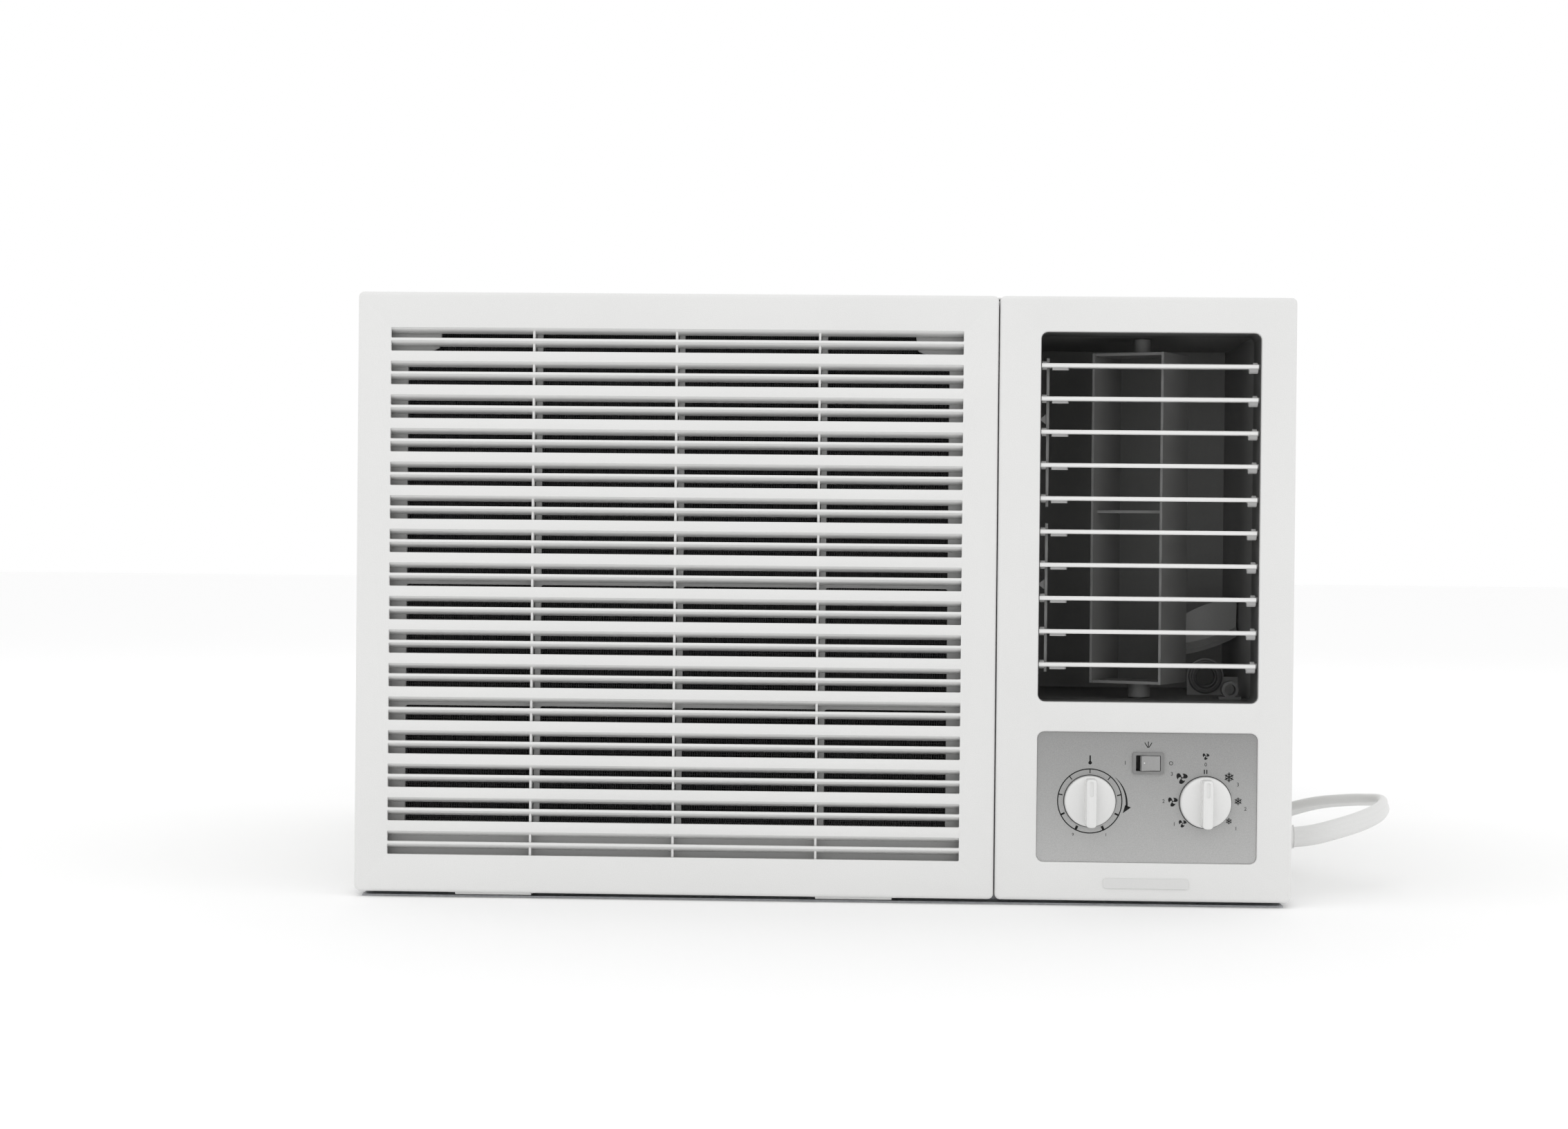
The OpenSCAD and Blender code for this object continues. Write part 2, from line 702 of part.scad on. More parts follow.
module air_duct() {
    x = [vent_x[0] - duct_wall, vent_x[1] + duct_wall];
    z = [vent_z[0] - duct_wall, vent_z[1] + duct_wall];
    color("dimgray") difference() {
        union() {
            difference() {
                block(x, [duct_front, duct_back], z);
                block(vent_x, [duct_front - 1, duct_back - duct_wall], vent_z);
                // the blower feeds the duct through its left-hand wall
                block([x[0] - 1, x[0] + duct_wall + 1], [scroll_y[0] + scroll_wall, duct_back - duct_wall],
                    [outlet_z()[0], outlet_z()[1]]);
            }
            duct_boss(false);
        }
        rod_z(swing_x, swing_y, [z[0] - 1, z[1] + 1], swing_pin_r + fit);
        duct_boss(true);
    }
}

module duct_grommet() {
    x = grommet_x;
    z = grommet_z;
    y = [grommet_y - 2, grommet_y + 4];
    color("black") difference() {
        union() {
            rod_y(x, [y[0], grommet_y], z, 12.5);
            rod_y(x, y, z, 9);
        }
        rod_y(x, [y[0] - 1, y[1] + 1], z, 6.5);
    }
}

module wire_clip() {
    x = vent_x[1] - 13;
    z = vent_z[0];
    y = duct_front + 13;
    color("lightgray") difference() {
        union() {
            rod_y(x, [y, y + 10], z + 7, 6);
            block([x - 8, x + 8], [y, y + 10], [z, z + 2]);
        }
        rod_y(x, [y - 1, y + 11], z + 7, 4);
    }
}

// ---- Controls ----

module knob(x) {
    body_y = [front - knob_out + 3, knob_back];
    color("white") {
        rod_y(x, [knob_back - 4, knob_back], knob_z, knob_r);
        translate([x, knob_back - 4 + eps, knob_z]) rotate([90, 0, 0])
            cylinder(h = knob_back - 4 - body_y[0], r1 = knob_r - 0.6, r2 = knob_r - 3.2);
        round_block([x - 4, x + 4], [front - knob_out, knob_back - 3],
            [knob_z - knob_r + 3.4, knob_z + knob_r - 3.4], 2);
        rod_y(x, [knob_back - 1, front + 22], knob_z, stem_r);
    }
}

module thermostat_knob() {
    knob(thermostat_x);
}

module selector_knob() {
    knob(selector_x);
}

module rotary_switch(x, w, h, d) {
    y = [box_y[0] + 5, box_y[0] + 5 + d];
    difference() {
        union() {
            block([x - w / 2, x + w / 2], y, [knob_z - h / 2, knob_z + h / 2]);
            rod_y(x, [plate_front + 0.2, y[0] + 1], knob_z, bushing_r);
            for (s = [-1, 1]) block([x + s * w / 4 - 2.5, x + s * w / 4 + 2.5], [y[1] - 1, y[1] + 6],
                [knob_z - 0.5, knob_z + 0.5]);
        }
        rod_y(x, [plate_front - 1, front + 22 + gap], knob_z, stem_r + fit);
    }
}

module thermostat() {
    color("tan") rotary_switch(thermostat_x, 34, 30, 24);
}

module selector_switch() {
    color("dimgray") rotary_switch(selector_x, 36, 36, 26);
}

module swing_switch() {
    body_y = [plate_front - 1.6, plate_front + 22];
    color("gray") difference() {
        union() {
            block([switch_x - switch_w / 2, switch_x + switch_w / 2], [body_y[0], plate_front],
                [switch_z - switch_h / 2, switch_z + switch_h / 2]);
            block([switch_x - rocker_w / 2 - 1.3, switch_x + rocker_w / 2 + 1.3], [body_y[0], body_y[1]],
                [switch_z - rocker_h / 2 - 1.3, switch_z + rocker_h / 2 + 1.3]);
        }
        block([switch_x - rocker_w / 2 - 0.3, switch_x + rocker_w / 2 + 0.3], [body_y[0] - 1, body_y[1] - 2],
            [switch_z - rocker_h / 2 - 0.3, switch_z + rocker_h / 2 + 0.3]);
        rod_z(switch_x, rocker_y, [switch_z - rocker_h / 2 - 1.1, switch_z + rocker_h / 2 + 1.1], 1.2 + fit);
    }
}

// Seen from above a shallow V, so that one end stands out when the other is pressed in
module swing_rocker() {
    half = rocker_w / 2 - 1.6;
    color("dimgray") translate([switch_x, rocker_y, 0]) rotate([0, 0, rocker_tilt]) {
        translate([0, 0, switch_z - rocker_h / 2]) linear_extrude(rocker_h) polygon([
            [-half, -8.2], [0, -6], [half, -8.2], [half, -4], [3, 4], [-3, 4], [-half, -4]
        ]);
        rod_z(0, 0, [switch_z - rocker_h / 2 - 1, switch_z + rocker_h / 2 + 1], 1.2);
    }
}

module control_box() {
    color("lightsteelblue") difference() {
        block(box_x, box_y, box_z);
        block([box_x[0] + sheet, box_x[1] - sheet], [box_y[0] - 1, box_y[1] - sheet],
            [box_z[0] + sheet, box_z[1] - sheet]);
        block([switch_x - 13, switch_x + 13], [box_y[0] - 1, front + 26], [box_z[1] - 20, box_z[1] + 1]);
    }
}

module run_capacitor() {
    x = [box_x[0] + 60, box_x[0] + 145];
    y = box_y[1] + 24;
    color("silver") {
        rod_x(x, y, pan_rim + 34, 20);
        block([x[0] + 20, x[1] - 20], [box_y[1], y], [pan_rim + 30, pan_rim + 38]);
        for (s = [-6, 6]) rod_x([x[1] - 1, x[1] + 8], y, pan_rim + 34 + s, 1.5);
    }
}

// ---- Case ----

module louver_slots() {
    len_y = 74;
    step_y = len_y + 12;
    columns = floor((louver_y[1] - louver_y[0] + 12) / step_y);
    rows = floor((face_top - 260) / 16);
    for (c = [0 : columns - 1], r = [0 : rows - 1]) {
        y = louver_y[0] + c * step_y;
        z = 230 + r * 16;
        block([-case_x - 1, case_x + 1], [y, y + len_y], [z, z + 5]);
    }
    across_n = floor((2 * case_x - 120) / 100);
    for (c = [0 : across_n - 1], r = [0 : 5]) {
        x = -case_x + (2 * case_x - across_n * 100 + 12) / 2 + c * 100;
        y = louver_y[0] + 20 + r * 16;
        block([x, x + 88], [y, y + 5], [case_top - 10, case_top + 1]);
    }
}

module cabinet_shell() {
    color("gainsboro") difference() {
        round_block([-case_x, case_x], [case_front, back], [-20, case_top], case_r);
        round_block([-case_x + sheet, case_x - sheet], [case_front - 1, back + 1], [-30, inner_top], case_r - sheet);
        block([-case_x - 1, case_x + 1], [case_front - 1, back + 1], [-21, 2]);
        louver_slots();
        for (x = [-angle_x, angle_x]) rod_z(x, angle_y, [inner_top - 1, case_top + 1], angle_hole_r);
        rod_x([case_x - sheet - 1, case_x + 1], gland_y, gland_z, 9.5);
        for (p = screw_sites()) translate(p[0]) rotate(p[1]) cylinder(h = 6, r = 2.1, center = true);
    }
}

// Each screw: where its head seats, and the turn that points its head outwards
function screw_sites() = concat(
    [for (s = [-1, 1], y = [front + 150, front + 420, back - 60]) [[s * case_x, y, 16], [0, s * 90, 0]]]
);

module cabinet_screws() {
    color("silver") for (p = screw_sites()) translate(p[0]) rotate(p[1]) {
        cylinder(h = 2.2, r = 4);
        translate([0, 0, -4.5]) cylinder(h = 4.6, r = 1.9);
    }
}

module base_pan() {
    color("darkgray") difference() {
        union() {
            difference() {
                block([-pan_x, pan_x], pan_y, [0, pan_rim]);
                block([-pan_x + sheet, pan_x - sheet], [pan_y[0] + sheet, pan_y[1] - sheet],
                    [sheet, pan_rim + 1]);
            }
            block([-pan_x, pan_x], [front + 8, pan_y[0] + eps], [0, sheet]);
        }
        for (x = [-sill_x, sill_x], y = sill_y) rod_z(x, y, [-1, sheet + 1], sill_hole_r);
        for (p = screw_sites()) translate(p[0]) rotate(p[1]) cylinder(h = 12, r = 2.1, center = true);
        for (p = compressor_feet()) rod_z(p[0], p[1], [-1, sheet + 1], 3.6);
        rod_x([pan_x - 4, pan_x + 4], gland_y, gland_z, 9.5);
    }
}

module rear_guard() {
    x = pan_x - 1;
    z = [pan_rim + 2, inner_top - 1];
    y = [back - 9, back - 7.5];
    bars = floor((2 * x - 30) / 24);
    pitch = (2 * x - 24) / bars;
    color("silver") {
        difference() {
            block([-x, x], y, z);
            block([-x + 12, x - 12], [y[0] - 1, y[1] + 1], [z[0] + 12, z[1] - 12]);
        }
        for (i = [1 : bars - 1]) rod_z(-x + 12 + i * pitch, back - 6, [z[0] + 5, z[1] - 5], 1.6);
        for (i = [1 : 4]) rod_x([-x + 5, x - 5], back - 3.2, z[0] + i * (z[1] - z[0]) / 5, 1.6);
    }
}

module drain_tray() {
    x = [evaporator_x[0] - 6, evaporator_x[1] + 6];
    y = [evaporator_y[0] - 5, evaporator_y[1] + 4];
    z = [pan_rim + 1, evaporator_z[0] + 8];
    color("lightgray") difference() {
        block(x, y, z);
        block([x[0] + 3, x[1] - 3], [y[0] + 2, y[1] - 2], [evaporator_z[0], z[1] + 1]);
    }
}

// ---- Coils ----

// A block of fins between two end plates
module coil(x, y, z) {
    block(x, y, z);
    for (e = [x[0] - end_plate, x[1]])
        block([e, e + end_plate], [y[0] - 1, y[1] + 1], z);
}

// U-bends of copper tube on one end of a coil
module coil_bends(x, side, y, z) {
    rows = 2;
    step = 25;
    count = floor((z[1] - z[0] - 20) / (2 * step));
    for (row = [0 : rows - 1], i = [0 : count - 1]) {
        cy = y[0] + (row + 0.5) * (y[1] - y[0]) / rows;
        cz = z[0] + 22 + i * 2 * step;
        translate([x, cy, cz + step / 2]) rotate([90, 0, side > 0 ? 0 : 180])
            rotate_extrude(angle = 180, start = -90) translate([step / 2, 0]) circle(bend_r);
    }
}

module evaporator_coil() {
    color("silver") coil(evaporator_x, evaporator_y, evaporator_z);
}

module evaporator_bends() {
    color("peru") {
        coil_bends(evaporator_x[1] + end_plate, 1, evaporator_y, evaporator_z);
        coil_bends(evaporator_x[0] - end_plate, -1, evaporator_y, evaporator_z);
    }
}

module condenser_coil() {
    color("silver") coil(condenser_x, condenser_y, condenser_z);
}

module condenser_bends() {
    color("peru") {
        coil_bends(condenser_x[1] + end_plate, 1, condenser_y, condenser_z);
        coil_bends(condenser_x[0] - end_plate, -1, condenser_y, condenser_z);
    }
}

// ---- Air mover ----

function outlet_z() = [shaft_z + scroll_r(tongue) * sin(tongue), shaft_z + scroll_r(-270)];

// Outline in X and Z of the blower's spiral with its outlet, grown by t
module scroll_outline(t) {
    steps = 59;
    spiral = [for (i = [0 : steps]) let (a = tongue - i * (270 + tongue) / steps)
        [shaft_x + (scroll_r(a) + t) * cos(a), shaft_z + (scroll_r(a) + t) * sin(a)]];
    out_x = vent_x[0] - duct_wall - 0.3;
    polygon(concat(spiral, [[out_x, outlet_z()[1] + t], [out_x, outlet_z()[0] - t]]));
}

module blower_housing() {
    inner_y = [scroll_y[0] + scroll_wall, scroll_y[1] - scroll_wall];
    out_x = vent_x[0] - duct_wall - 0.3;
    color("lightgray") difference() {
        across(scroll_y) scroll_outline(scroll_wall);
        across(inner_y) scroll_outline(0);
        block([out_x - scroll_wall - 1, out_x + 1], inner_y, outlet_z());
        // inlet from the coil, and the shaft's way out
        rod_y(shaft_x, [scroll_y[0] - 1, inner_y[0] + 1], shaft_z, wheel_r - 18);
        rod_y(shaft_x, [inner_y[1] - 1, scroll_y[1] + 1], shaft_z, shaft_r + 10);
    }
}

module blower_wheel() {
    blades = 36;
    y = [wheel_y, wheel_y + wheel_d];
    color("dimgray") difference() {
        union() {
            rod_y(shaft_x, [y[1] - 2.5, y[1]], shaft_z, wheel_r - 1);
            rod_y(shaft_x, [y[1] - 34, y[1]], shaft_z, shaft_r + 9);
            difference() {
                rod_y(shaft_x, [y[0], y[0] + 5], shaft_z, wheel_r);
                rod_y(shaft_x, [y[0] - 1, y[0] + 6], shaft_z, wheel_r - 15);
            }
            for (i = [0 : blades - 1]) translate([shaft_x, y[0] + 4, shaft_z])
                rotate([0, i * 360 / blades, 0]) translate([wheel_r - 8, 0, 0]) rotate([0, 35, 0])
                    translate([-8, 0, -0.6]) cube([15, wheel_d - 5, 1.2]);
        }
        rod_y(shaft_x, [y[0], y[1] + 1], shaft_z, shaft_r);
    }
}

module motor_shaft() {
    color("silver") rod_y(shaft_x, [wheel_y + wheel_d - 38, fan_y + fan_d + 8], shaft_z, shaft_r);
}

module condenser_fan() {
    blades = 5;
    hub_r = 38;
    color("dimgray") difference() {
        union() {
            rod_y(shaft_x, [fan_y, fan_y + fan_d], shaft_z, hub_r);
            // blades, each a tilted slab kept inside the fan's ring
            intersection() {
                rod_y(shaft_x, [fan_y + 1, fan_y + fan_d - 1], shaft_z, fan_r - 3);
                for (i = [0 : blades - 1]) translate([shaft_x, fan_y + fan_d / 2, shaft_z])
                    rotate([0, i * 360 / blades, 0]) rotate([30, 0, 0])
                        translate([hub_r - 6, -1.2, -46]) cube([fan_r, 2.4, 92]);
            }
            // slinger ring that lifts condensate onto the coil
            difference() {
                rod_y(shaft_x, [fan_y + fan_d - 12, fan_y + fan_d], shaft_z, fan_r);
                rod_y(shaft_x, [fan_y + fan_d - 13, fan_y + fan_d + 1], shaft_z, fan_r - 4);
            }
        }
        rod_y(shaft_x, [fan_y - 1, fan_y + fan_d + 1], shaft_z, shaft_r);
    }
}

module fan_motor() {
    y = [motor_y, motor_y + motor_len];
    color("slategray") difference() {
        union() {
            rod_y(shaft_x, y, shaft_z, motor_r);
            rod_y(shaft_x, [y[0] - 8, y[1] + 8], shaft_z, motor_r * 0.45);
            block([shaft_x - 40, shaft_x + 40], [y[0] + 8, y[1] - 8],
                [shaft_z - motor_r - 5, shaft_z - motor_r * 0.8]);
        }
        rod_y(shaft_x, [y[0] - 9, y[1] + 9], shaft_z, shaft_r + fit);
    }
}

module motor_bracket() {
    top = shaft_z - motor_r - 5;
    y = [motor_y, motor_y + motor_len];
    color("lightslategray") {
        block([shaft_x - 55, shaft_x + 55], y, [top - 3, top]);
        for (s = [-1, 1]) {
            x = shaft_x + s * 53.5;
            block([x - 1.5, x + 1.5], y, [sheet, top - 1]);
            block([x - 12, x + 12], y, [sheet, sheet + 2.5]);
        }
    }
}

module condenser_shroud() {
    t = 1.5;
    x = [-shroud_x, shroud_x];
    color("lightgray") difference() {
        union() {
            difference() {
                block(x, shroud_y, shroud_z);
                block([x[0] + t, x[1] - t], [shroud_y[0] + t, shroud_y[1] + 1],
                    [shroud_z[0] + t, shroud_z[1] - t]);
            }
            rod_y(shaft_x, [shroud_y[0], shroud_y[0] + 22], shaft_z, collar_r + t);
        }
        rod_y(shaft_x, [shroud_y[0] - 1, shroud_y[0] + 23], shaft_z, collar_r);
    }
}

module bulkhead() {
    y = [bulkhead_y, bulkhead_y + sheet];
    color("lightgray") difference() {
        block([-pan_x + 3, pan_x - 3], y, [sheet, inner_top - 2]);
        rod_y(shaft_x, [y[0] - 1, y[1] + 1], shaft_z, shaft_r + 10);
        for (p = bulkhead_tubes()) rod_y(p[0], [y[0] - 1, y[1] + 1], p[1], p[2] + 1.5);
    }
}

// ---- Compressor and tubes ----

// Half profile of an upright can with rounded ends
function bulged(r, h, edge) = concat([[0, 0]],
    [for (a = [0 : 15 : 90]) [r - edge + edge * sin(a), edge - edge * cos(a)]],
    [for (a = [90 : -15 : 0]) [r - edge + edge * sin(a), h - edge + edge * cos(a)]],
    [[0, h]]);

module compressor() {
    top = foot_z + foot_t + compressor_h;
    color("dimgray") {
        translate([compressor_x, compressor_y, foot_z - 4])
            rotate_extrude() polygon(bulged(compressor_r, compressor_h + foot_t + 4, 22));
        difference() {
            translate([compressor_x, compressor_y, foot_z]) linear_extrude(foot_t) polygon([
                for (a = foot_angles, s = [-1, 1])
                    [(foot_ring + 12) * cos(a) - s * 16 * sin(a), (foot_ring + 12) * sin(a) + s * 16 * cos(a)]
            ]);
            for (p = compressor_feet()) rod_z(p[0], p[1], [foot_z - 1, foot_z + foot_t + 1], 4);
        }
        rod_z(compressor_x + 18, compressor_y + 12, [top - 4, top + 10], 5);
    }
}

function compressor_feet() = [for (a = foot_angles)
    [compressor_x + foot_ring * cos(a), compressor_y + foot_ring * sin(a)]];

module compressor_grommets() {
    color("black") for (p = compressor_feet()) difference() {
        rod_z(p[0], p[1], [sheet, foot_z], 11);
        rod_z(p[0], p[1], [0, foot_z + 1], 4);
    }
}

module compressor_bolts() {
    color("silver") for (p = compressor_feet()) {
        rod_z(p[0], p[1], [sheet + 0.5, foot_z + foot_t + 4], 3.4);
        translate([p[0], p[1], foot_z + foot_t]) cylinder(h = 5, r = 7, $fn = 6);
    }
}

module accumulator() {
    z = foot_z + 55;
    color("dimgray") {
        translate([accumulator_x, compressor_y, z])
            rotate_extrude() polygon(bulged(accumulator_r, accumulator_h, 10));
        tube_run([[accumulator_x, compressor_y, z + 2], [accumulator_x, compressor_y, foot_z + 38],
            [compressor_x - compressor_r - 0.05, compressor_y, foot_z + 38]], 6);
    }
}

// Where the two tubes cross the bulkhead: x, z and radius
function bulkhead_tubes() = [[right - 60, 330, 6], [right - 60, 92, 2.2]];

module refrigerant_tubes() {
    suction = bulkhead_tubes()[0];
    liquid = bulkhead_tubes()[1];
    head = foot_z + foot_t + compressor_h + 10;
    acc_top = foot_z + 55 + accumulator_h;
    coil_end = evaporator_x[1] + end_plate;
    evap_y = evaporator_y[1] - 12;
    cond_x = condenser_x[1] - 40;
    color("peru") {
        // hot gas, compressor to outdoor coil
        tube_run([[compressor_x + 18, compressor_y + 12, head], [compressor_x + 18, compressor_y + 12, head + 40],
            [cond_x, compressor_y + 12, head + 40], [cond_x, compressor_y + 12, shroud_z[1] - 60],
            [cond_x, shroud_y[0], shroud_z[1] - 60]], 5);
        // suction, room-side coil to accumulator
        tube_run([[accumulator_x, compressor_y, acc_top], [accumulator_x, compressor_y, suction[1]],
            [suction[0], compressor_y - 90, suction[1]], [suction[0], bulkhead_y - 0.2, suction[1]]], 6);
        // liquid, drier and capillary
        tube_run([[cond_x, shroud_y[0], 60], [cond_x, compressor_y + compressor_r + 20, 60],
            [liquid[0] + 24, compressor_y + compressor_r + 20, 92],
            [liquid[0] + 24, compressor_y, 92]], 2.2);
        rod_y(liquid[0] + 24, [compressor_y - 90, compressor_y], 92, drier_r);
        tube_run([[liquid[0] + 24, compressor_y - 90, 92], [liquid[0], compressor_y - 102, liquid[1]],
            [liquid[0], bulkhead_y - 0.2, liquid[1]]], 2.2);
    }
}

// ---- Power cord ----

module strain_relief() {
    x = case_x;
    color("lightgray") {
        rod_x([x + 0.01, x + 4], gland_y, gland_z, 12);
        translate([x + 3.9, gland_y, gland_z]) rotate([0, 90, 0]) cylinder(h = gland_out - 4, r1 = 11, r2 = 8.6);
        rod_x([x - 8, x + 0.5], gland_y, gland_z, 9.2);
    }
}

// Flat tube with its long side upright, one ring at each point
function ring_at(points, i) =
    let (
        last = len(points) - 1,
        ahead = points[min(i + 1, last)] - points[max(i - 1, 0)],
        run = norm([ahead[0], ahead[1]]),
        side = [ahead[1] / run, -ahead[0] / run, 0],
        up = cross(side, ahead / norm(ahead))
    )
    [for (k = [0 : 11]) points[i] + side * (cord_t / 2 * cos(k * 30)) + up * (cord_w / 2 * sin(k * 30))];

module flat_tube(points) {
    n = len(points);
    polyhedron(
        points = [for (i = [0 : n - 1]) each ring_at(points, i)],
        faces = concat(
            [[for (k = [0 : 11]) k]],
            [for (i = [0 : n - 2], k = [0 : 11]) let (a = i * 12 + k, b = i * 12 + (k + 1) % 12)
                [a, a + 12, b + 12, b]],
            [[for (k = [11 : -1 : 0]) (n - 1) * 12 + k]]
        ),
        convexity = 6
    );
}

module power_cord() {
    color("lightgray") {
        flat_tube([for (p = side_run) [right + p[0], gland_y + p[1] * side_stretch, p[2]]]);
        flat_tube([for (p = tail_run) [coil_centre[0] + p[0], coil_centre[1] + p[1], p[2]]]);
    }
}

module cord_coil() {
    color("lightgray") translate([coil_centre[0], coil_centre[1], 0]) rotate_extrude()
        translate([coil_r - cord_t / 2, 0]) square([cord_t, coil_h]);
}

module plug_frame() {
    translate([plug_at[0], plug_at[1], 0]) rotate(plug_turn) children();
}

module power_plug() {
    color("lightgray") plug_frame() {
        translate([14, -24, 0]) linear_extrude(20) translate([0, 0]) round_outline([0, 46], [0, 48], 8);
        translate([0.2, 0, 10]) rotate([0, 90, 0]) cylinder(h = 15, r1 = 8.4, r2 = 9.6);
    }
}

module plug_pins() {
    color("gold") plug_frame() {
        block([22, 30], [-2, 2], [20, 42]);
        for (s = [-1, 1]) block([44, 48], [s * 11 - 3.2, s * 11 + 3.2], [20, 38]);
    }
}

front_fascia();
control_plate();
nameplate();
intake_panel();
filter_frame();
filter_mesh();
cabinet_shell();
base_pan();
rear_guard();
cabinet_screws();
drain_tray();
evaporator_coil();
evaporator_bends();
blower_housing();
air_duct();
duct_grommet();
wire_clip();
bulkhead();
fan_motor();
motor_bracket();
motor_shaft();
blower_wheel();
condenser_fan();
condenser_shroud();
condenser_coil();
condenser_bends();
compressor();
accumulator();
compressor_grommets();
compressor_bolts();
refrigerant_tubes();
control_box();
thermostat();
selector_switch();
swing_switch();
run_capacitor();
thermostat_knob();
selector_knob();
swing_rocker();
swing_motor();
swing_crank();
swing_rod();
swing_frame();
link_bar_upper();
link_bar_lower();
strain_relief();
power_cord();
cord_coil();
power_plug();
plug_pins();
for (i = [0 : blade_count - 1]) louver_blade(i);
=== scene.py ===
import json
import math

import bpy
import bmesh
from mathutils import Matrix, Vector
from mathutils.geometry import tessellate_polygon


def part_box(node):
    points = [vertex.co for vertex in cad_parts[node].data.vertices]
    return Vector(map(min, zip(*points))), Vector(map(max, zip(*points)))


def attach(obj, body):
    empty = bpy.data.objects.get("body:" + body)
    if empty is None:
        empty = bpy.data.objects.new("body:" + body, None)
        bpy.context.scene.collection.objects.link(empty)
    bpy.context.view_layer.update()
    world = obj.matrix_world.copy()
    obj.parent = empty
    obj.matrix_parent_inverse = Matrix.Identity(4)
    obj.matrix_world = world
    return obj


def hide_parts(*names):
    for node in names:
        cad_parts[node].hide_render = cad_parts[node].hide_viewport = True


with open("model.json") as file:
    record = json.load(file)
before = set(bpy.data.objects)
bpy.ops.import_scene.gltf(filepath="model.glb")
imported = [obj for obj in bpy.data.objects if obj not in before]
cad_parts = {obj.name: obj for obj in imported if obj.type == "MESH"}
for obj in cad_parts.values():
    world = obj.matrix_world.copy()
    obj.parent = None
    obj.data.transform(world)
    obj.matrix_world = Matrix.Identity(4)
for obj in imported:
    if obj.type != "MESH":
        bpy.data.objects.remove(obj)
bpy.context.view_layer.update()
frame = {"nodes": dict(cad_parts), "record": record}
cadNodes = frame["nodes"]
print("frame loaded:", len(cadNodes), "nodes")

mm = 0.001


def nodeBox(node):
    low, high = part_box(node)
    return [v / mm for v in low], [v / mm for v in high]


# camera, light, floor

view = {
    "place": (0.0350, -2.3415, 0.2569),  # metres
    "yaw": 1.792,
    "pitch": -0.543,
    "roll": 0.545,
    "lens": 65.32,
    "sensor": 36.0,
}


def addCamera():
    data = bpy.data.cameras.new("studioCamera")
    data.sensor_width = view["sensor"]
    data.lens = view["lens"]
    data.clip_start = 0.05
    data.clip_end = 30
    camera = bpy.data.objects.new("studioCamera", data)
    turn = (
        Matrix.Rotation(math.radians(view["yaw"]), 4, "Z")
        @ Matrix.Rotation(math.radians(90 + view["pitch"]), 4, "X")
        @ Matrix.Rotation(math.radians(view["roll"]), 4, "Z")
    )
    camera.matrix_world = Matrix.Translation(view["place"]) @ turn
    bpy.context.collection.objects.link(camera)
    bpy.context.scene.camera = camera


addCamera()

studio = {
    "skyStrength": 1.0,
    "keySize": 2.6,
    "keyPower": 9,
    "keyPlace": (-0.9, -1.9, 2.6),
    "fillSize": 2.2,
    "fillPower": 3,
    "fillPlace": (2.4, -1.6, 1.5),
    "backPower": 6,
    "backPlace": (0.2, 2.4, 2.4),
}


def addArea(name, place, size, power, aim):
    data = bpy.data.lights.new(name, "AREA")
    data.shape = "SQUARE"
    data.size = size
    data.energy = power
    lamp = bpy.data.objects.new(name, data)
    lamp.location = place
    toAim = Vector(aim) - Vector(place)
    lamp.rotation_euler = toAim.to_track_quat("-Z", "Y").to_euler()
    bpy.context.collection.objects.link(lamp)


def addStudio():
    sky = bpy.data.worlds.new("studioSky")
    sky.use_nodes = True
    wash = sky.node_tree.nodes["Background"]
    wash.inputs["Color"].default_value = (1, 1, 1, 1)
    wash.inputs["Strength"].default_value = studio["skyStrength"]
    bpy.context.scene.world = sky
    aim = (0, 0, 0.2)
    addArea("keyLight", studio["keyPlace"], studio["keySize"], studio["keyPower"], aim)
    addArea("fillLight", studio["fillPlace"], studio["fillSize"], studio["fillPower"], aim)
    addArea("backLight", studio["backPlace"], studio["fillSize"], studio["backPower"], aim)
    scene = bpy.context.scene
    scene.view_settings.view_transform = "Standard"
    scene.view_settings.look = "None"


addStudio()


# finishes


def groupSocket(group, label, side, kind, value=None):
    sock = group.interface.new_socket(label, in_out=side, socket_type=kind)
    if value is not None:
        sock.default_value = value
    return sock


def link(tree, source, target):
    tree.links.new(source, target)


def buildGrainGroup():
    # broad shade, fine fleck and a height, all from object coordinates
    group = bpy.data.node_groups.new("mouldedGrain", "ShaderNodeTree")
    groupSocket(group, "Vector", "INPUT", "NodeSocketVector")
    groupSocket(group, "Broad Scale", "INPUT", "NodeSocketFloat", 9.0)
    groupSocket(group, "Fine Scale", "INPUT", "NodeSocketFloat", 900.0)
    groupSocket(group, "Fleck", "INPUT", "NodeSocketFloat", 0.35)
    groupSocket(group, "Shade", "OUTPUT", "NodeSocketFloat")
    groupSocket(group, "Height", "OUTPUT", "NodeSocketFloat")
    start = group.nodes.new("NodeGroupInput")
    end = group.nodes.new("NodeGroupOutput")
    broad = group.nodes.new("ShaderNodeTexNoise")
    broad.inputs["Detail"].default_value = 3
    fine = group.nodes.new("ShaderNodeTexNoise")
    fine.inputs["Detail"].default_value = 2
    mixed = group.nodes.new("ShaderNodeMix")
    link(group, start.outputs["Vector"], broad.inputs["Vector"])
    link(group, start.outputs["Vector"], fine.inputs["Vector"])
    link(group, start.outputs["Broad Scale"], broad.inputs["Scale"])
    link(group, start.outputs["Fine Scale"], fine.inputs["Scale"])
    link(group, start.outputs["Fleck"], mixed.inputs["Factor"])
    link(group, broad.outputs["Fac"], mixed.inputs["A"])
    link(group, fine.outputs["Fac"], mixed.inputs["B"])
    link(group, mixed.outputs["Result"], end.inputs["Shade"])
    link(group, fine.outputs["Fac"], end.inputs["Height"])
    return group


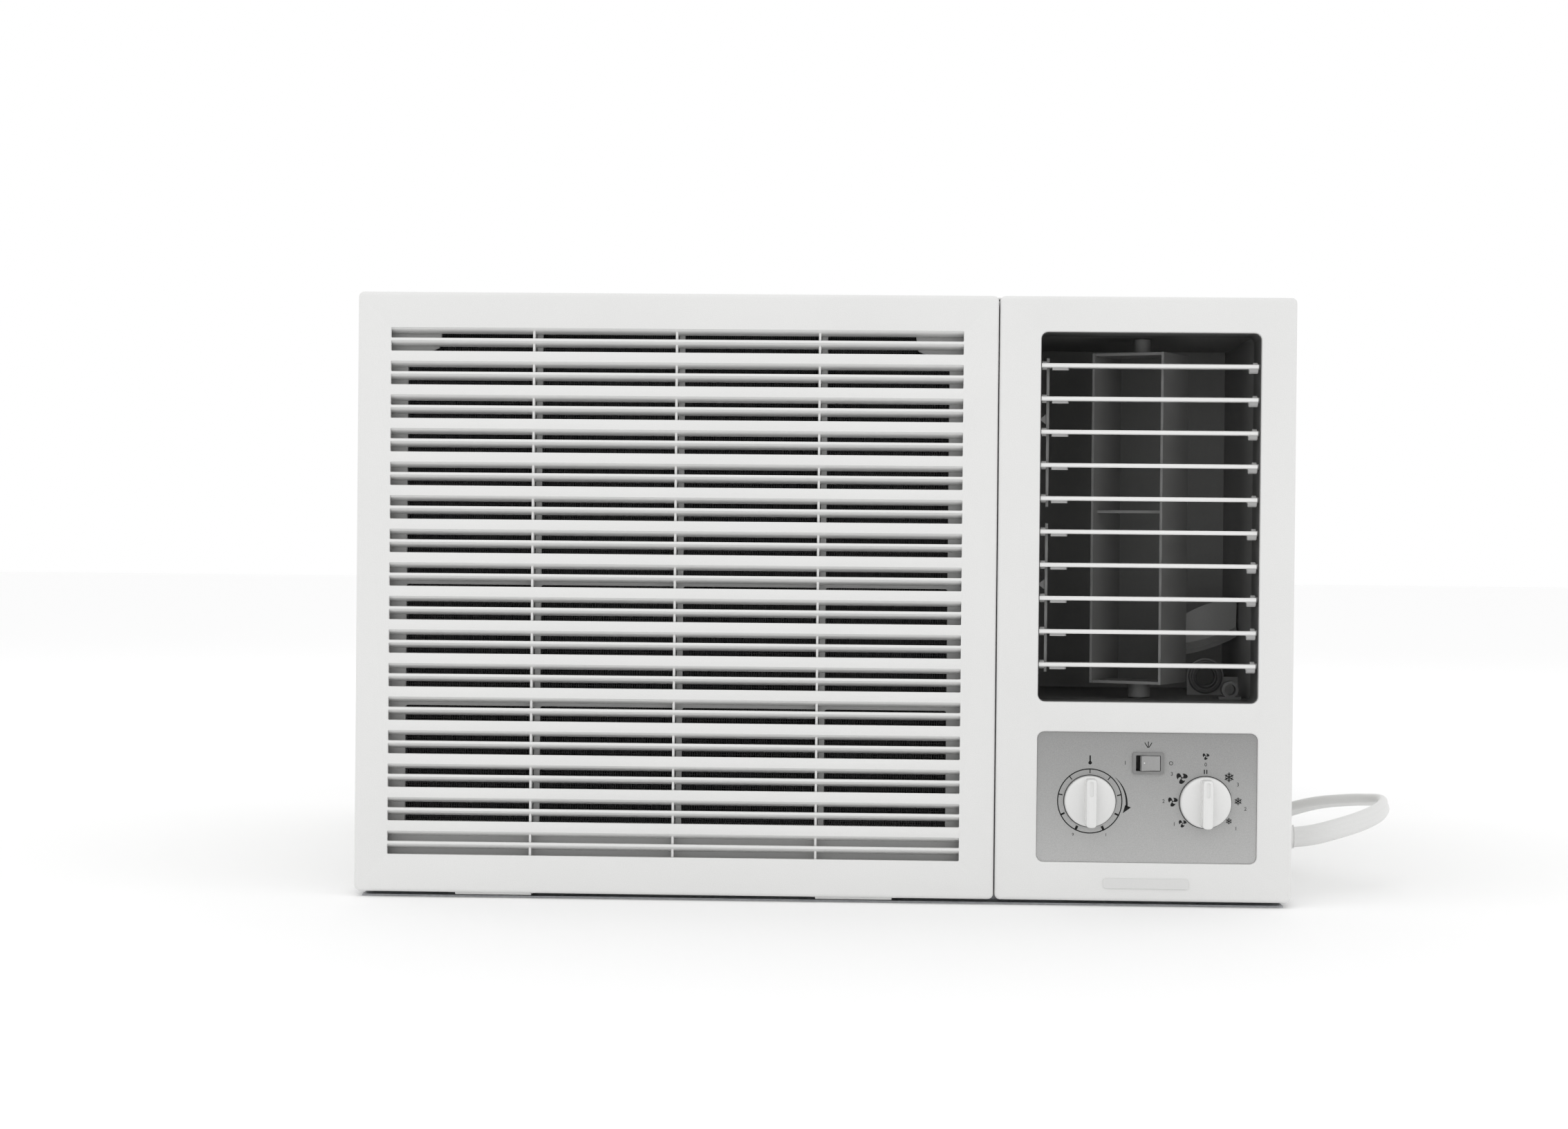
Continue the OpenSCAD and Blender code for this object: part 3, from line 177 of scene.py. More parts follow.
def buildBrushGroup():
    # streaks along one axis, for rolled or brushed metal
    group = bpy.data.node_groups.new("rolledStreaks", "ShaderNodeTree")
    groupSocket(group, "Vector", "INPUT", "NodeSocketVector")
    groupSocket(group, "Stretch", "INPUT", "NodeSocketVector", (1.0, 40.0, 40.0))
    groupSocket(group, "Scale", "INPUT", "NodeSocketFloat", 12.0)
    groupSocket(group, "Shade", "OUTPUT", "NodeSocketFloat")
    groupSocket(group, "Height", "OUTPUT", "NodeSocketFloat")
    start = group.nodes.new("NodeGroupInput")
    end = group.nodes.new("NodeGroupOutput")
    pull = group.nodes.new("ShaderNodeVectorMath")
    pull.operation = "MULTIPLY"
    streak = group.nodes.new("ShaderNodeTexNoise")
    streak.inputs["Detail"].default_value = 4
    link(group, start.outputs["Vector"], pull.inputs[0])
    link(group, start.outputs["Stretch"], pull.inputs[1])
    link(group, pull.outputs[0], streak.inputs["Vector"])
    link(group, start.outputs["Scale"], streak.inputs["Scale"])
    link(group, streak.outputs["Fac"], end.inputs["Shade"])
    link(group, streak.outputs["Fac"], end.inputs["Height"])
    return group


grainGroup = buildGrainGroup()
brushGroup = buildBrushGroup()


def finish(name, dark, light, rough, bump=0.05, metallic=0.0, specular=0.5, coat=0.0, brushed=None,
           broad=9.0, fine=900.0, fleck=0.35, depth=0.0002, paintedSheen=None):
    material = bpy.data.materials.new(name)
    material.use_nodes = True
    tree = material.node_tree
    shader = tree.nodes["Principled BSDF"]
    shader.inputs["Metallic"].default_value = metallic
    shader.inputs["Specular IOR Level"].default_value = specular
    if coat:
        shader.inputs["Coat Weight"].default_value = coat
        shader.inputs["Coat Roughness"].default_value = 0.15
    where = tree.nodes.new("ShaderNodeTexCoord")
    pattern = tree.nodes.new("ShaderNodeGroup")
    pattern.node_tree = brushGroup if brushed else grainGroup
    link(tree, where.outputs["Object"], pattern.inputs["Vector"])
    if brushed:
        pattern.inputs["Stretch"].default_value = brushed
        pattern.inputs["Scale"].default_value = broad
    else:
        pattern.inputs["Broad Scale"].default_value = broad
        pattern.inputs["Fine Scale"].default_value = fine
        pattern.inputs["Fleck"].default_value = fleck
    ramp = tree.nodes.new("ShaderNodeValToRGB")
    ramp.color_ramp.elements[0].position = 0.3
    ramp.color_ramp.elements[1].position = 0.7
    ramp.color_ramp.elements[0].color = (*dark, 1)
    ramp.color_ramp.elements[1].color = (*light, 1)
    link(tree, pattern.outputs["Shade"], ramp.inputs["Fac"])
    if paintedSheen:
        # painted sheen: the base colour darkens from the bottom of a plate to its top: (low z, high z, how
        # dark at the top)
        parts = tree.nodes.new("ShaderNodeSeparateXYZ")
        link(tree, where.outputs["Object"], parts.inputs["Vector"])
        fall = tree.nodes.new("ShaderNodeMapRange")
        fall.inputs["From Min"].default_value = paintedSheen[0] * mm
        fall.inputs["From Max"].default_value = paintedSheen[1] * mm
        fall.inputs["To Min"].default_value = 1
        fall.inputs["To Max"].default_value = paintedSheen[2]
        link(tree, parts.outputs["Z"], fall.inputs["Value"])
        shade = tree.nodes.new("ShaderNodeVectorMath")
        shade.operation = "SCALE"
        link(tree, ramp.outputs["Color"], shade.inputs[0])
        link(tree, fall.outputs["Result"], shade.inputs["Scale"])
        link(tree, shade.outputs["Vector"], shader.inputs["Base Color"])
    else:
        link(tree, ramp.outputs["Color"], shader.inputs["Base Color"])
    spread = tree.nodes.new("ShaderNodeMapRange")
    spread.inputs["From Min"].default_value = 0.3
    spread.inputs["From Max"].default_value = 0.7
    spread.inputs["To Min"].default_value = max(rough - 0.05, 0.02)
    spread.inputs["To Max"].default_value = rough + 0.06
    link(tree, pattern.outputs["Shade"], spread.inputs["Value"])
    link(tree, spread.outputs["Result"], shader.inputs["Roughness"])
    relief = tree.nodes.new("ShaderNodeBump")
    relief.inputs["Strength"].default_value = bump
    relief.inputs["Distance"].default_value = depth
    link(tree, pattern.outputs["Height"], relief.inputs["Height"])
    link(tree, relief.outputs["Normal"], shader.inputs["Normal"])
    return material


def grey(v):
    return (v, v, v * 0.99)


finishes = {
    "white_abs": finish("fasciaWhite", grey(0.715), grey(0.765), 0.36, bump=0.2, fleck=0.6, fine=1300),
    "blade_white": finish("bladeWhite", grey(0.78), grey(0.81), 0.34, bump=0.06),
    "knob_white": finish("knobWhite", grey(0.72), grey(0.76), 0.22, bump=0.02, coat=0.15),
    # the control plate's colour carries a painted sheen, lighter at its bottom and darker at its top
    "silver_plate": finish("plateSilver", grey(0.39), grey(0.50), 0.4, bump=0.12, metallic=0.35, broad=7,
                           fine=1500, fleck=0.8, paintedSheen=(30, 122, 0.66)),
    "grey_badge": finish("badgeGrey", grey(0.66), grey(0.70), 0.3, bump=0.03),
    "filter_grey": finish("filterGrey", grey(0.42), grey(0.46), 0.5, bump=0.05),
    "filter_net": finish("filterNet", grey(0.05), grey(0.07), 0.6, bump=0.02),
    "painted_steel": finish("cabinetPaint", (0.62, 0.62, 0.605), (0.66, 0.66, 0.645), 0.42, bump=0.3,
                            fine=420, fleck=0.2, depth=0.0004),
    "galvanised": finish("zincSheet", (0.30, 0.31, 0.325), (0.46, 0.47, 0.48), 0.38, bump=0.04, metallic=0.85,
                         broad=60, fine=240, fleck=0.4),
    "screw_steel": finish("screwZinc", (0.46, 0.46, 0.45), (0.60, 0.60, 0.59), 0.28, metallic=0.95,
                          broad=220),
    "tray_grey": finish("trayGrey", grey(0.40), grey(0.44), 0.5, bump=0.05),
    "fin_aluminium": finish("finAluminium", (0.50, 0.51, 0.52), (0.64, 0.65, 0.66), 0.34, bump=0.05,
                            metallic=0.9, brushed=(1, 30, 4), broad=30),
    "copper": finish("drawnCopper", (0.42, 0.185, 0.095), (0.62, 0.30, 0.17), 0.3, metallic=1.0, broad=40),
    "duct_black": finish("ductBlack", grey(0.23), grey(0.27), 0.5, bump=0.1),
    "black_rubber": finish("blackRubber", grey(0.10), grey(0.13), 0.45, bump=0.08, fine=500),
    "motor_paint": finish("motorPaint", (0.10, 0.11, 0.12), (0.13, 0.14, 0.15), 0.4, bump=0.12, fine=500),
    "fan_plastic": finish("fanPlastic", grey(0.032), grey(0.045), 0.45, bump=0.06),
    "black_paint": finish("compressorEnamel", grey(0.012), grey(0.02), 0.25, bump=0.06, coat=0.3),
    "switch_body": finish("phenolicBody", (0.13, 0.105, 0.075), (0.18, 0.15, 0.11), 0.45, bump=0.05),
    "switch_grey": finish("rockerGrey", grey(0.20), grey(0.23), 0.3, bump=0.03),
    "vane_grey": finish("vaneGrey", grey(0.25), grey(0.29), 0.42, bump=0.05),
    "link_grey": finish("linkGrey", grey(0.26), grey(0.30), 0.42, bump=0.05),
    "cord_pvc": finish("cordPvc", grey(0.71), grey(0.75), 0.36, bump=0.06, fine=700),
    "pin_brass": finish("pinBrass", (0.56, 0.42, 0.17), (0.72, 0.56, 0.27), 0.24, metallic=1.0, broad=120),
}
printBlack = finish("printBlack", grey(0.012), grey(0.016), 0.5, specular=0.12)
# evaporator fins and tubes: a coated-fin tone, painted much darker as the shade behind the filter
finCoatingAndShade = finish("finCoatingAndPaintedShade", grey(0.06), grey(0.09), 0.5, bump=0.05, broad=45)
# the white blade plastic darkened, as painted shade on the blade ends
shadedBladeEnd = finish("whiteBladeEndsInPaintedShade", grey(0.34), grey(0.38), 0.4)
clipGrey = finish("clipGrey", grey(0.15), grey(0.18), 0.4)
tunnelDark = finish("tunnelDark", grey(0.09), grey(0.11), 0.5, bump=0.08)
rockerLight = finish("rockerLight", grey(0.30), grey(0.34), 0.25, bump=0.02)

slotOf = {part["node"]: part["material_slot"] for part in frame["record"]["subparts"]}
for node, piece in cadNodes.items():
    piece.data.materials.clear()
    piece.data.materials.append(finishes[slotOf[node]])
print("finishes made:", len(finishes))


# mesh helpers, all in millimetres until settle()


def settle(shape, name, body, slot, bevel=None, smooth=35, replaced=(), segments=2, material=None):
    bmesh.ops.remove_doubles(shape, verts=shape.verts, dist=1e-4)
    bmesh.ops.recalc_face_normals(shape, faces=shape.faces)
    mesh = bpy.data.meshes.new(name)
    shape.transform(Matrix.Scale(mm, 4))
    shape.to_mesh(mesh)
    shape.free()
    return place(mesh, name, body, slot, bevel, smooth, replaced, segments, material)


def place(mesh, name, body, slot, bevel=None, smooth=35, replaced=(), segments=2, material=None):
    piece = bpy.data.objects.new(name, mesh)
    bpy.context.collection.objects.link(piece)
    mesh.materials.clear()
    mesh.materials.append(material or finishes[slot])
    mesh.shade_smooth()
    mesh.set_sharp_from_angle(angle=math.radians(smooth))
    if bevel:
        edge = piece.modifiers.new("edgeRound", "BEVEL")
        edge.width = bevel * mm
        edge.segments = segments
        edge.limit_method = "ANGLE"
        edge.angle_limit = math.radians(50)
        edge.harden_normals = True
    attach(piece, body)
    if replaced:
        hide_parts(*replaced)
    return piece


def addBlock(shape, x, y, z):
    corners = [shape.verts.new((x[i], y[j], z[k])) for i in (0, 1) for j in (0, 1) for k in (0, 1)]
    for ring in ((0, 1, 3, 2), (4, 6, 7, 5), (0, 4, 5, 1), (2, 3, 7, 6), (0, 2, 6, 4), (1, 5, 7, 3)):
        shape.faces.new([corners[i] for i in ring])


def onAxis(axis, along, a, b):
    # a and b are the other two coordinates, in x, y, z order
    return {"x": (along, a, b), "y": (a, along, b), "z": (a, b, along)}[axis]


def addRings(shape, rings, closeStart=True, closeEnd=True):
    rows = [[shape.verts.new(p) for p in ring] for ring in rings]
    for near, far in zip(rows, rows[1:]):
        for i in range(len(near)):
            j = (i + 1) % len(near)
            shape.faces.new((near[i], near[j], far[j], far[i]))
    if closeStart:
        shape.faces.new(rows[0][::-1])
    if closeEnd:
        shape.faces.new(rows[-1])
    return rows


def circleAt(axis, along, centre, radius, sides=32):
    return [
        onAxis(axis, along, centre[0] + radius * math.cos(2 * math.pi * i / sides),
               centre[1] + radius * math.sin(2 * math.pi * i / sides))
        for i in range(sides)
    ]


def addTurned(shape, axis, centre, profile, sides=32, hole=None):
    # profile: (along the axis, radius) from one end to the other; hole: radius of a bore right through
    rings = [circleAt(axis, along, centre, radius, sides) for along, radius in profile]
    if hole:
        rings += [circleAt(axis, profile[-1][0], centre, hole, sides),
                  circleAt(axis, profile[0][0], centre, hole, sides)]
        rows = addRings(shape, rings, False, False)
        for i in range(sides):
            j = (i + 1) % sides
            shape.faces.new((rows[-1][i], rows[-1][j], rows[0][j], rows[0][i]))
    else:
        addRings(shape, rings)


def addPrism(shape, axis, outline, span, holes=()):
    loops = [outline, *holes]
    near = [[shape.verts.new(onAxis(axis, span[0], *p)) for p in loop] for loop in loops]
    far = [[shape.verts.new(onAxis(axis, span[1], *p)) for p in loop] for loop in loops]
    for a, b in zip(near, far):
        for i in range(len(a)):
            j = (i + 1) % len(a)
            shape.faces.new((a[i], a[j], b[j], b[i]))
    for side in (near, far):
        fillLoops(shape, side)


def fillLoops(shape, loops):
    flat = [v for loop in loops for v in loop]
    for a, b, c in tessellate_polygon([[v.co for v in loop] for loop in loops]):
        if len({a, b, c}) == 3:
            try:
                shape.faces.new((flat[a], flat[b], flat[c]))
            except ValueError:
                pass


def roundRect(x, z, r, steps=6):
    points = []
    for cx, cz, start in ((x[1] - r, z[0] + r, -90), (x[1] - r, z[1] - r, 0), (x[0] + r, z[1] - r, 90),
                          (x[0] + r, z[0] + r, 180)):
        for i in range(steps + 1):
            a = math.radians(start + 90 * i / steps)
            points.append((cx + r * math.cos(a), cz + r * math.sin(a)))
    return points


def rectRing(shape, x, z, r, grow, y, steps=6):
    outline = roundRect((x[0] - grow, x[1] + grow), (z[0] - grow, z[1] + grow), max(r + grow, 0.05), steps)
    return [shape.verts.new((px, y, pz)) for px, pz in outline]


def bridge(shape, near, far):
    for i in range(len(near)):
        j = (i + 1) % len(near)
        shape.faces.new((near[i], near[j], far[j], far[i]))


def bridgeAll(shape, rows):
    for near, far in zip(rows, rows[1:]):
        bridge(shape, near, far)


quarter = [math.radians(a) for a in (0, 18, 36, 54, 72, 90)]


def outerEdge(shape, x, z, corner, soft, face, back):
    # rounded outside edge, from the flat of the face to the end of the side wall
    rows = [
        rectRing(shape, x, z, corner, -(soft - soft * math.sin(a)), face + soft - soft * math.cos(a))
        for a in quarter
    ]
    rows.append(rectRing(shape, x, z, corner, 0, back))
    bridgeAll(shape, rows)
    return rows


def innerEdge(shape, x, z, corner, soft, face, back, steps=6, angles=quarter):
    # rounded edge of an opening, from the flat of the face to the end of its wall
    rows = [
        rectRing(shape, x, z, corner, soft - soft * math.sin(a), face + soft - soft * math.cos(a), steps)
        for a in angles
    ]
    rows.append(rectRing(shape, x, z, corner, 0, back, steps))
    bridgeAll(shape, rows)
    return rows


def cutBy(piece, cutters):
    for x, y, z in cutters:
        tool = bmesh.new()
        addBlock(tool, x, y, z)
        bmesh.ops.recalc_face_normals(tool, faces=tool.faces)
        tool.transform(Matrix.Scale(mm, 4))
        mesh = bpy.data.meshes.new("cutter")
        tool.to_mesh(mesh)
        tool.free()
        cutter = bpy.data.objects.new("cutter", mesh)
        bpy.context.collection.objects.link(cutter)
        cut = piece.modifiers.new("cut", "BOOLEAN")
        cut.object = cutter
        cut.operation = "DIFFERENCE"
        cut.solver = "EXACT"
        bakeModifiers(piece)
        bpy.data.objects.remove(cutter)


def bakeModifiers(piece):
    bpy.context.view_layer.update()
    graph = bpy.context.evaluated_depsgraph_get()
    mesh = bpy.data.meshes.new_from_object(piece.evaluated_get(graph))
    piece.modifiers.clear()
    piece.data = mesh
    return piece


# Geometry Nodes trees


def newTree(name, sockets):
    tree = bpy.data.node_groups.new(name, "GeometryNodeTree")
    tree.is_modifier = True
    for label, kind in sockets:
        tree.interface.new_socket(label, in_out="INPUT", socket_type=kind)
    tree.interface.new_socket("Geometry", in_out="OUTPUT", socket_type="NodeSocketGeometry")
    start = tree.nodes.new("NodeGroupInput")
    end = tree.nodes.new("NodeGroupOutput")
    return tree, start, end


def endTree(tree, start, end, geometry):
    # every tree ends in real geometry with its finish on
    real = tree.nodes.new("GeometryNodeRealizeInstances")
    paint = tree.nodes.new("GeometryNodeSetMaterial")
    link(tree, geometry, real.inputs["Geometry"])
    link(tree, real.outputs["Geometry"], paint.inputs["Geometry"])
    link(tree, start.outputs["Finish"], paint.inputs["Material"])
    link(tree, paint.outputs["Geometry"], end.inputs["Geometry"])


def buildRowsTree():
    # one piece repeated in two directions
    tree, start, end = newTree("repeatInRows", [
        ("Piece", "NodeSocketObject"), ("Start", "NodeSocketVector"),
        ("Count", "NodeSocketInt"), ("Step", "NodeSocketVector"),
        ("Inner Count", "NodeSocketInt"), ("Inner Step", "NodeSocketVector"),
        ("Turn", "NodeSocketVector"), ("Finish", "NodeSocketMaterial")])
    info = tree.nodes.new("GeometryNodeObjectInfo")
    link(tree, start.outputs["Piece"], info.inputs["Object"])
    outer = tree.nodes.new("GeometryNodeMeshLine")
    inner = tree.nodes.new("GeometryNodeMeshLine")
    for line, count, step in ((outer, "Count", "Step"), (inner, "Inner Count", "Inner Step")):
        line.mode = "OFFSET"
        link(tree, start.outputs[count], line.inputs["Count"])
        link(tree, start.outputs[step], line.inputs["Offset"])
    link(tree, start.outputs["Start"], outer.inputs["Start Location"])
    spread = tree.nodes.new("GeometryNodeInstanceOnPoints")
    link(tree, outer.outputs["Mesh"], spread.inputs["Points"])
    link(tree, inner.outputs["Mesh"], spread.inputs["Instance"])
    flat = tree.nodes.new("GeometryNodeRealizeInstances")
    link(tree, spread.outputs["Instances"], flat.inputs["Geometry"])
    pieces = tree.nodes.new("GeometryNodeInstanceOnPoints")
    link(tree, flat.outputs["Geometry"], pieces.inputs["Points"])
    link(tree, info.outputs["Geometry"], pieces.inputs["Instance"])
    link(tree, start.outputs["Turn"], pieces.inputs["Rotation"])
    endTree(tree, start, end, pieces.outputs["Instances"])
    return tree


def buildWiresTree():
    # straight wires side by side, all along one direction
    tree, start, end = newTree("parallelWires", [
        ("Start", "NodeSocketVector"), ("Along", "NodeSocketVector"), ("Count", "NodeSocketInt"),
        ("Step", "NodeSocketVector"), ("Radius", "NodeSocketFloat"), ("Sides", "NodeSocketInt"),
        ("Finish", "NodeSocketMaterial")])
    line = tree.nodes.new("GeometryNodeCurvePrimitiveLine")
    link(tree, start.outputs["Along"], line.inputs["End"])
    round_ = tree.nodes.new("GeometryNodeCurvePrimitiveCircle")
    link(tree, start.outputs["Sides"], round_.inputs["Resolution"])
    link(tree, start.outputs["Radius"], round_.inputs["Radius"])
    wire = tree.nodes.new("GeometryNodeCurveToMesh")
    wire.inputs["Fill Caps"].default_value = True
    link(tree, line.outputs["Curve"], wire.inputs["Curve"])
    link(tree, round_.outputs["Curve"], wire.inputs["Profile Curve"])
    row = tree.nodes.new("GeometryNodeMeshLine")
    row.mode = "OFFSET"
    link(tree, start.outputs["Count"], row.inputs["Count"])
    link(tree, start.outputs["Start"], row.inputs["Start Location"])
    link(tree, start.outputs["Step"], row.inputs["Offset"])
    wires = tree.nodes.new("GeometryNodeInstanceOnPoints")
    link(tree, row.outputs["Mesh"], wires.inputs["Points"])
    link(tree, wire.outputs["Mesh"], wires.inputs["Instance"])
    endTree(tree, start, end, wires.outputs["Instances"])
    return tree


rowsTree = buildRowsTree()
wiresTree = buildWiresTree()


def grow(name, tree, values):
    # runs a tree once and gives back its plain mesh
    host = bpy.data.objects.new(name, bpy.data.meshes.new(name))
    bpy.context.collection.objects.link(host)
    maker = host.modifiers.new("maker", "NODES")
    maker.node_group = tree
    sockets = {item.name: item.identifier for item in tree.interface.items_tree if item.in_out == "INPUT"}
    for label, value in values.items():
        maker[sockets[label]] = value
    bpy.context.view_layer.update()
    graph = bpy.context.evaluated_depsgraph_get()
    mesh = bpy.data.meshes.new_from_object(host.evaluated_get(graph))
    bpy.data.objects.remove(host)
    return mesh


def sample(shape, name, bevel=None):
    # a loose piece for a tree to repeat; it is thrown away afterwards
    bmesh.ops.remove_doubles(shape, verts=shape.verts, dist=1e-4)
    bmesh.ops.recalc_face_normals(shape, faces=shape.faces)
    shape.transform(Matrix.Scale(mm, 4))
    mesh = bpy.data.meshes.new(name)
    shape.to_mesh(mesh)
    shape.free()
    piece = bpy.data.objects.new(name, mesh)
    bpy.context.collection.objects.link(piece)
    if bevel:
        edge = piece.modifiers.new("edgeRound", "BEVEL")
        edge.width = bevel * mm
        edge.segments = 2
        edge.limit_method = "ANGLE"
        edge.angle_limit = math.radians(50)
        bakeModifiers(piece)
    return piece


def metres(*v):
    return tuple(c * mm for c in v)


def repeated(name, body, slot, piece, start, count, step, innerCount=1, innerStep=(0, 0, 0), turn=(0, 0, 0),
             smooth=35, replaced=()):
    mesh = grow(name, rowsTree, {
        "Piece": piece, "Start": metres(*start), "Count": count, "Step": metres(*step),
        "Inner Count": innerCount, "Inner Step": metres(*innerStep), "Turn": turn, "Finish": finishes[slot]})
    bpy.data.objects.remove(piece)
    return place(mesh, name, body, slot, smooth=smooth, replaced=replaced)


def wires(name, body, slot, start, along, count, step, radius, sides=8, replaced=(), material=None):
    mesh = grow(name, wiresTree, {
        "Start": metres(*start), "Along": metres(*along), "Count": count, "Step": metres(*step),
        "Radius": radius * mm, "Sides": sides, "Finish": finishes[slot]})
    return place(mesh, name, body, slot, smooth=50, replaced=replaced, material=material)


# power cord: first of the pieces

cord = {
    "width": 15.0,
    "thick": 7.5,
    "exit": (347.0, -255.0, 42.0),
    "turns": 2.25,
    "coilCentre": (266.0, 455.0),
    "coilRadius": 78.0,
    "climbStarts": (265.0, 625.0),  # degrees of winding where the lead climbs a layer
    "climbOver": 70.0,
    "caseSide": 330.0,
    "length": 2.0,  # metres
    "farTilt": 74.0,
}
# beside the case: out from its side, behind the gland, height
sideRun = [
    (17, 0, 42), (30, 0, 44), (46, 3, 48), (62, 11, 52), (76, 24, 56), (85, 41, 59),
    (89, 60, 61), (87, 80, 62), (79, 97, 61), (67, 111, 59), (53, 126, 56),
    (40, 143, 51), (31, 165, 45), (25, 191, 37), (21, 219, 28), (19, 247, 20),
    (18, 277, 13), (17, 309, 9), (16, 345, 7.5), (15, 385, 7.5), (15, 427, 7.5),
    (15, 471, 7.5), (15, 515, 7.5), (15, 559, 7.5), (14, 603, 7.5), (14, 643, 7.5), (14, 679, 7.5),
]
tailRun = [(-22, 78, 35), (-42, 76, 29), (-62, 71, 20), (-80, 63, 13), (-94, 54, 10)]


def smoothStep(t):
    t = min(max(t, 0), 1)
    return t * t * (3 - 2 * t)


def cordPath():
    side, exitY = cord["caseSide"], cord["exit"][1]
    points = [Vector((side + 7, exitY, 41.4))] + [Vector((side + x, exitY + y, z)) for x, y, z in sideRun]
    cx, cy = cord["coilCentre"]
    radius, layer, over = cord["coilRadius"], cord["width"], cord["climbOver"]
    first, second = cord["climbStarts"]
    steps = 20
    for i in range(int(cord["turns"] * steps) + 1):
        degrees = 360 * i / steps
        climbed = smoothStep((degrees - first) / over) + smoothStep((degrees - second) / over)
        z = layer / 2 + layer * climbed
        a = math.radians(degrees)
        points.append(Vector((cx + radius * math.cos(a), cy + radius * math.sin(a), z)))
    points += [Vector((cx + x, cy + y, z)) for x, y, z in tailRun]
    return points


def smoothPath(points, cuts):
    # Catmull-Rom through the points
    path = []
    last = len(points) - 1
    for i in range(last):
        a, b, c, d = (points[max(i - 1, 0)], points[i], points[i + 1], points[min(i + 2, last)])
        for k in range(cuts):
            t = k / cuts
            path.append(0.5 * ((2 * b) + (c - a) * t + (2 * a - 5 * b + 4 * c - d) * t * t
                               + (3 * b - a - 3 * c + d) * t * t * t))
    path.append(points[-1])
    return path


def cordSection():
    # cores side by side: (across the thickness, along the width)
    r = cord["thick"] / 2
    reach = cord["width"] / 2 - r
    section = []
    for side in (1, -1):
        for k in range(13):
            v = reach * (k / 6 - 1)
            section.append((side * r * (0.975 + 0.025 * math.cos(2 * math.pi * v / reach)), side * v))
        for a in (20, 45, 70, 90, 110, 135, 160):
            section.append((side * r * math.cos(math.radians(a)),
                            side * (reach + r * math.sin(math.radians(a)))))
    return section


def sweep(shape, path, section, twist=lambda i: 0.0):
    rings = []
    last = len(path) - 1
    for i, point in enumerate(path):
        ahead = (path[min(i + 1, last)] - path[max(i - 1, 0)]).normalized()
        side = Vector((ahead.y, -ahead.x, 0)).normalized()
        up = side.cross(ahead)
        a = math.radians(twist(i))
        across = side * math.cos(a) + up * math.sin(a)
        along = up * math.cos(a) - side * math.sin(a)
        rings.append([point + across * u + along * v for u, v in section])
    addRings(shape, rings)


def makePlug():
    body = bmesh.new()
    addPrism(body, "z", roundRect((14, 60), (-24, 24), 9, 8), (0, 20))
    for i in range(5):
        for side in (-1, 1):
            addBlock(body, (26 + i * 5, 28 + i * 5), (side * 24 - 0.8, side * 24 + 0.8), (3, 17))
    turn = Matrix.Translation((172, 509, 0)) @ Matrix.Rotation(math.radians(212), 4, "Z")
    body.transform(turn)
    plug = settle(body, "mainsPlug", "case", "cord_pvc", bevel=1.6, segments=3, replaced=("power_plug",))
    neck = bmesh.new()
    profile = []
    for i in range(5):
        profile += [(0.2 + i * 3, 8.2 + i * 0.3), (1.9 + i * 3, 8.2 + i * 0.3),
                    (2.2 + i * 3, 7.1 + i * 0.3), (2.9 + i * 3, 7.1 + i * 0.3)]
    addTurned(neck, "x", (0, 10), profile, 28)
    neck.transform(turn)
    neckPiece = settle(neck, "plugNeck", "case", "cord_pvc", bevel=0.2)
    pins = bmesh.new()
    addBlock(pins, (22, 30), (-2, 2), (19, 42))
    for side in (-1, 1):
        addBlock(pins, (44, 48), (side * 11 - 3.2, side * 11 + 3.2), (19, 38))
    pins.transform(turn)
    pinPiece = settle(pins, "plugPins", "case", "pin_brass", bevel=0.8, segments=3, replaced=("plug_pins",))
    return [plug, neckPiece, pinPiece]


def makeStrainRelief():
    shape = bmesh.new()
    addTurned(shape, "x", (-255, 42), [(327.1, 11.4), (327.6, 12), (330.4, 12), (331, 11.3)], 40)
    profile = [(330.9, 10.8)]
    for i in range(4):
        start = 331.6 + i * 3
        r = 10.8 - i * 0.55
        profile += [(start, r), (start + 1.6, r - 0.15), (start + 1.9, r - 1.1), (start + 2.7, r - 1.2)]
    profile += [(343.4, 8.6), (343.8, 8.1)]
    addTurned(shape, "x", (-255, 42), profile, 40)
    return settle(shape, "strainRelief", "case", "cord_pvc", replaced=("strain_relief",))


def makeCoilTie():
    # strap round the coil, standing on the same surface
    shape = bmesh.new()
    cx, cy = cord["coilCentre"]
    outer = roundRect((66.5, 89.5), (0, 45.6), 5, 6)
    inner = roundRect((67.7, 88.3), (1.2, 44.4), 4, 6)
    addPrism(shape, "y", outer, (-8, 8), [inner])
    a = math.radians(40)
    shape.transform(Matrix.Translation((cx, cy, 0)) @ Matrix.Rotation(a, 4, "Z"))
    return settle(shape, "coilTie", "case", "black_rubber", bevel=0.3, replaced=())


def makeCord():
    route = cordPath()
    path = smoothPath(route, 3)
    shape = bmesh.new()
    tilt = cord["farTilt"]

    def twist(i):
        # the far side of the loop leans over, and the lead stands up again before the long straight
        y = path[i].y
        if i > len(path) / 2 or y > 60:
            return 0
        return tilt * smoothStep((y + 212) / 46) * (1 - smoothStep((y + 90) / 150))

    sweep(shape, path, cordSection(), twist)
    lead = settle(shape, "mainsLead", "case", "cord_pvc", smooth=60, replaced=("power_cord", "cord_coil"))
    makeStrainRelief()
    tie = makeCoilTie()
    plug = makePlug()
    print("power cord made")


makeCord()


# front moulding

